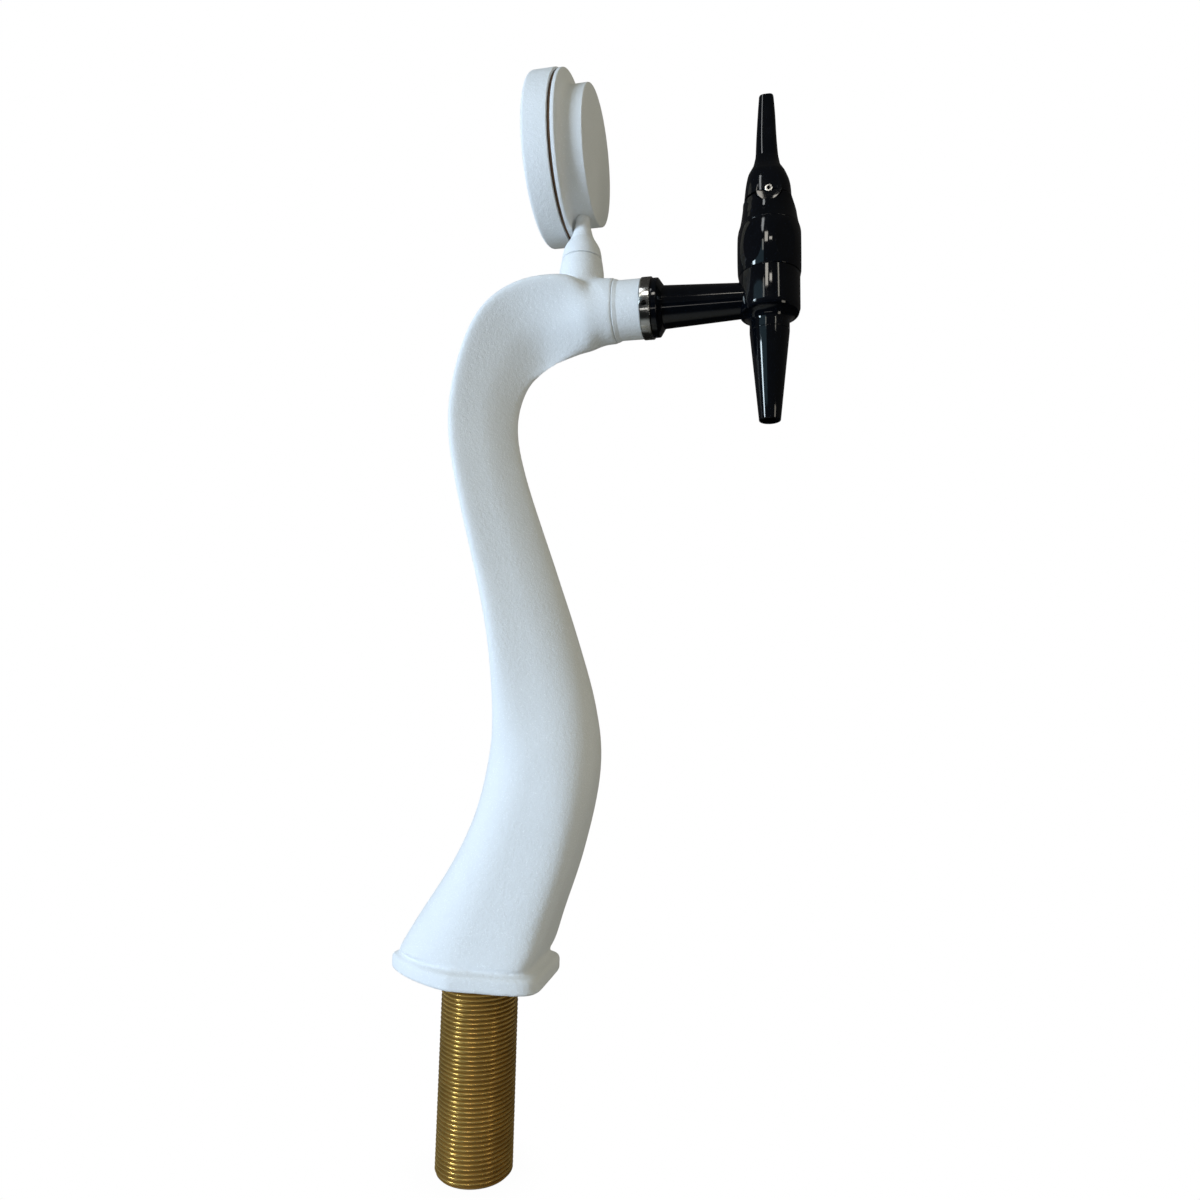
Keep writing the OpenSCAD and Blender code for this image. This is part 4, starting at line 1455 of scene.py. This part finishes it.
NECK_MIDDLE = (0.04, 0.0, 0.25)
WARM = (1.0, 0.95, 0.86)
LAMPS = (
    Lamp("key", (-1.70, -1.66, 0.44), (1.1, 0.9), 63, (0.66, 0.81, 1.0), NECK_MIDDLE, False, True),
    Lamp("fill", (1.4, -0.4, 0.6), (0.6, 1.0), 2.5, (1.0, 0.9, 0.75), NECK_MIDDLE, False, True),
    Lamp("panel_front", (-0.045, -1.30, 1.17), (0.235, 0.26), 1.6, WARM),
    Lamp("panel_arm", (0.29, -1.29, 1.10), (0.20, 0.07), 0.42, WARM),
    Lamp("strip_left", (-0.29, -1.22, 0.95), (0.10, 0.26), 0.25, (1.0, 0.97, 0.88)),
    Lamp("strip_right", (0.90, -1.07, 1.03), (0.10, 0.44), 0.71, (1.0, 0.96, 0.84)),
    Lamp("window", (-0.88, -0.78, 0.57), (0.20, 0.36), 5.6, (0.75, 0.9, 1.0)),
    Lamp("haze", (-0.76, -1.18, 0.80), (1.1, 0.70), 1.2, (0.45, 0.8, 1.0)),
    Lamp("panel_high", (-0.36, -1.19, 1.62), (0.20, 0.44), 1.5, (0.95, 0.98, 1.0)),
    Lamp("panel_stem", (0.45, -0.22, 0.26), (0.08, 0.20), 0.15, (1.0, 0.93, 0.8), (0.0, 0.0, 0.0)),
    Lamp("ledge", (0.05, -0.95, -0.07), (0.70, 0.05), 0.27, (1.0, 0.97, 0.92), (0.11, 0.0, 0.38)),
)


@dataclass
class Studio:
    """Pale floor, soft lamps and the camera.

    Args:
        sky: colour of the room's light, with ambient as its strength.
        room: colour of the room in reflections, with mirrored as its strength.
        shadow: metres from the origin over which the floor turns white to see.
        sheen: metres over which its reflection goes dark.
        pale: the floor's brightness as light, near the object and in far reflections.
        eye: place of the camera in millimetres.
    """

    floor_z: float = -0.1
    floor_size: float = 12.0
    shadow: tuple[float, float] = (0.02, 0.11)
    sheen: tuple[float, float] = (0.15, 0.35)
    pale: tuple[float, float] = (0.55, 0.02)
    sky: Triple = (1.0, 0.985, 0.80)
    ambient: float = 0.32
    room: Triple = (1.0, 0.96, 0.9)
    mirrored: float = 0.05
    eye: Triple = (165.80, -461.94, 151.06)
    azimuth: float = 12.53
    elevation: float = 6.927
    roll: float = 1.18
    lens: float = 25.225

    def background(self) -> None:
        """Sets a world that is white to see, dim as light and dark in reflections."""
        world = bpy.data.worlds.new("studio")
        bpy.context.scene.world = world
        world.use_nodes = True
        tree = world.node_tree
        light = tree.nodes["Background"]
        Effects.feed(tree, light, {"Color": (*self.sky, 1), "Strength": self.ambient})
        seen = Effects.node(tree, "Background", {"Color": (1, 1, 1, 1)})
        room = Effects.node(tree, "Background", {"Color": (*self.room, 1),
                                                 "Strength": self.mirrored})
        shown = Effects.mix_shaders(tree, self.visible(tree), light, seen)
        mix = Effects.mix_shaders(tree, self.ray(tree, "Glossy"), shown, room)
        Effects.feed(tree, tree.nodes["World Output"], {"Surface": mix.outputs[0]})

    @staticmethod
    def ray(tree: Tree, kind: str) -> Socket:
        """Returns 1 for rays of a kind and 0 for others."""
        return Effects.node(tree, "LightPath", {}).outputs[f"Is {kind} Ray"]

    def visible(self, tree: Tree) -> Socket:
        """Returns 1 for rays that show the background and 0 for rays that light the object."""
        kinds = (self.ray(tree, kind) for kind in ("Camera", "Transmission"))
        return Effects.maths(tree, "MAXIMUM", *kinds)

    def floor(self) -> None:
        """Lays a pale floor that keeps the shadow near the object and turns white further out."""
        Bench.clear()
        bpy.ops.mesh.primitive_plane_add(size=self.floor_size, location=(0, 0, self.floor_z))
        floor = Bench.settle("floor")
        material = bpy.data.materials.new("studio_floor")
        material.use_nodes = True
        tree = material.node_tree
        shown = tree.nodes["Principled BSDF"]
        Effects.feed(tree, shown, {"Base Color": (0.9, 0.9, 0.9, 1), "Roughness": 0.9,
                                   "Specular IOR Level": 0.0})
        reach = Effects.distance(tree)
        visible = self.visible(tree)
        far = Effects.maths(tree, "MULTIPLY", Effects.span(tree, reach, *self.shadow), visible)
        glossy = Effects.maths(tree, "MULTIPLY", self.ray(tree, "Glossy"),
                                Effects.span(tree, reach, *self.sheen))
        light = Effects.node(tree, "BsdfDiffuse",
                             {"Color": Effects.span(tree, glossy, 0, 1, *self.pale)})
        near = Effects.mix_shaders(tree, visible, light, shown)
        mix = Effects.mix_shaders(tree, far, near, Effects.node(tree, "Emission", {}))
        Effects.feed(tree, tree.nodes["Material Output"], {"Surface": mix.outputs[0]})
        floor.data.materials.append(material)

    def camera(self) -> None:
        """Adds the camera, which looks up from below the tap."""
        az, el, roll = (math.radians(v) for v in (self.azimuth, self.elevation, self.roll))
        ahead = Vector((-math.sin(az) * math.cos(el), math.cos(az) * math.cos(el), math.sin(el)))
        right = Vector((math.cos(az), math.sin(az), 0))
        up = right.cross(ahead)
        side = right * math.cos(roll) + up * math.sin(roll)
        above = up * math.cos(roll) - right * math.sin(roll)
        data = bpy.data.cameras.new("photo_view")
        data.sensor_fit = "HORIZONTAL"
        data.sensor_width = 36
        data.lens = self.lens
        data.clip_start = 0.01
        camera = bpy.data.objects.new("photo_view", data)
        turn = Matrix((side, above, -ahead)).transposed().to_4x4()
        camera.matrix_world = Matrix.Translation(Vector(self.eye) * MM) @ turn
        bpy.context.scene.collection.objects.link(camera)
        bpy.context.scene.camera = camera

    def build(self) -> None:
        """Sets up background, floor, lamps and camera."""
        bpy.context.scene.view_settings.view_transform = "Standard"
        self.background()
        self.floor()
        for lamp in LAMPS:
            lamp.build()
        self.camera()


def main() -> None:
    """Builds the font in order and notes its size."""
    logging.basicConfig(level=logging.INFO, format="%(name)s: %(message)s")
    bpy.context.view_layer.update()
    Studio().build()
    for assembly in (SwanNeck(), ThreadedStem(), Outlet(), Tap(), Badge(), Inside()):
        LOG.info("building %s", type(assembly).__name__)
        assembly.build()
    Bench.clear()


if __name__ == "__main__":
    main()
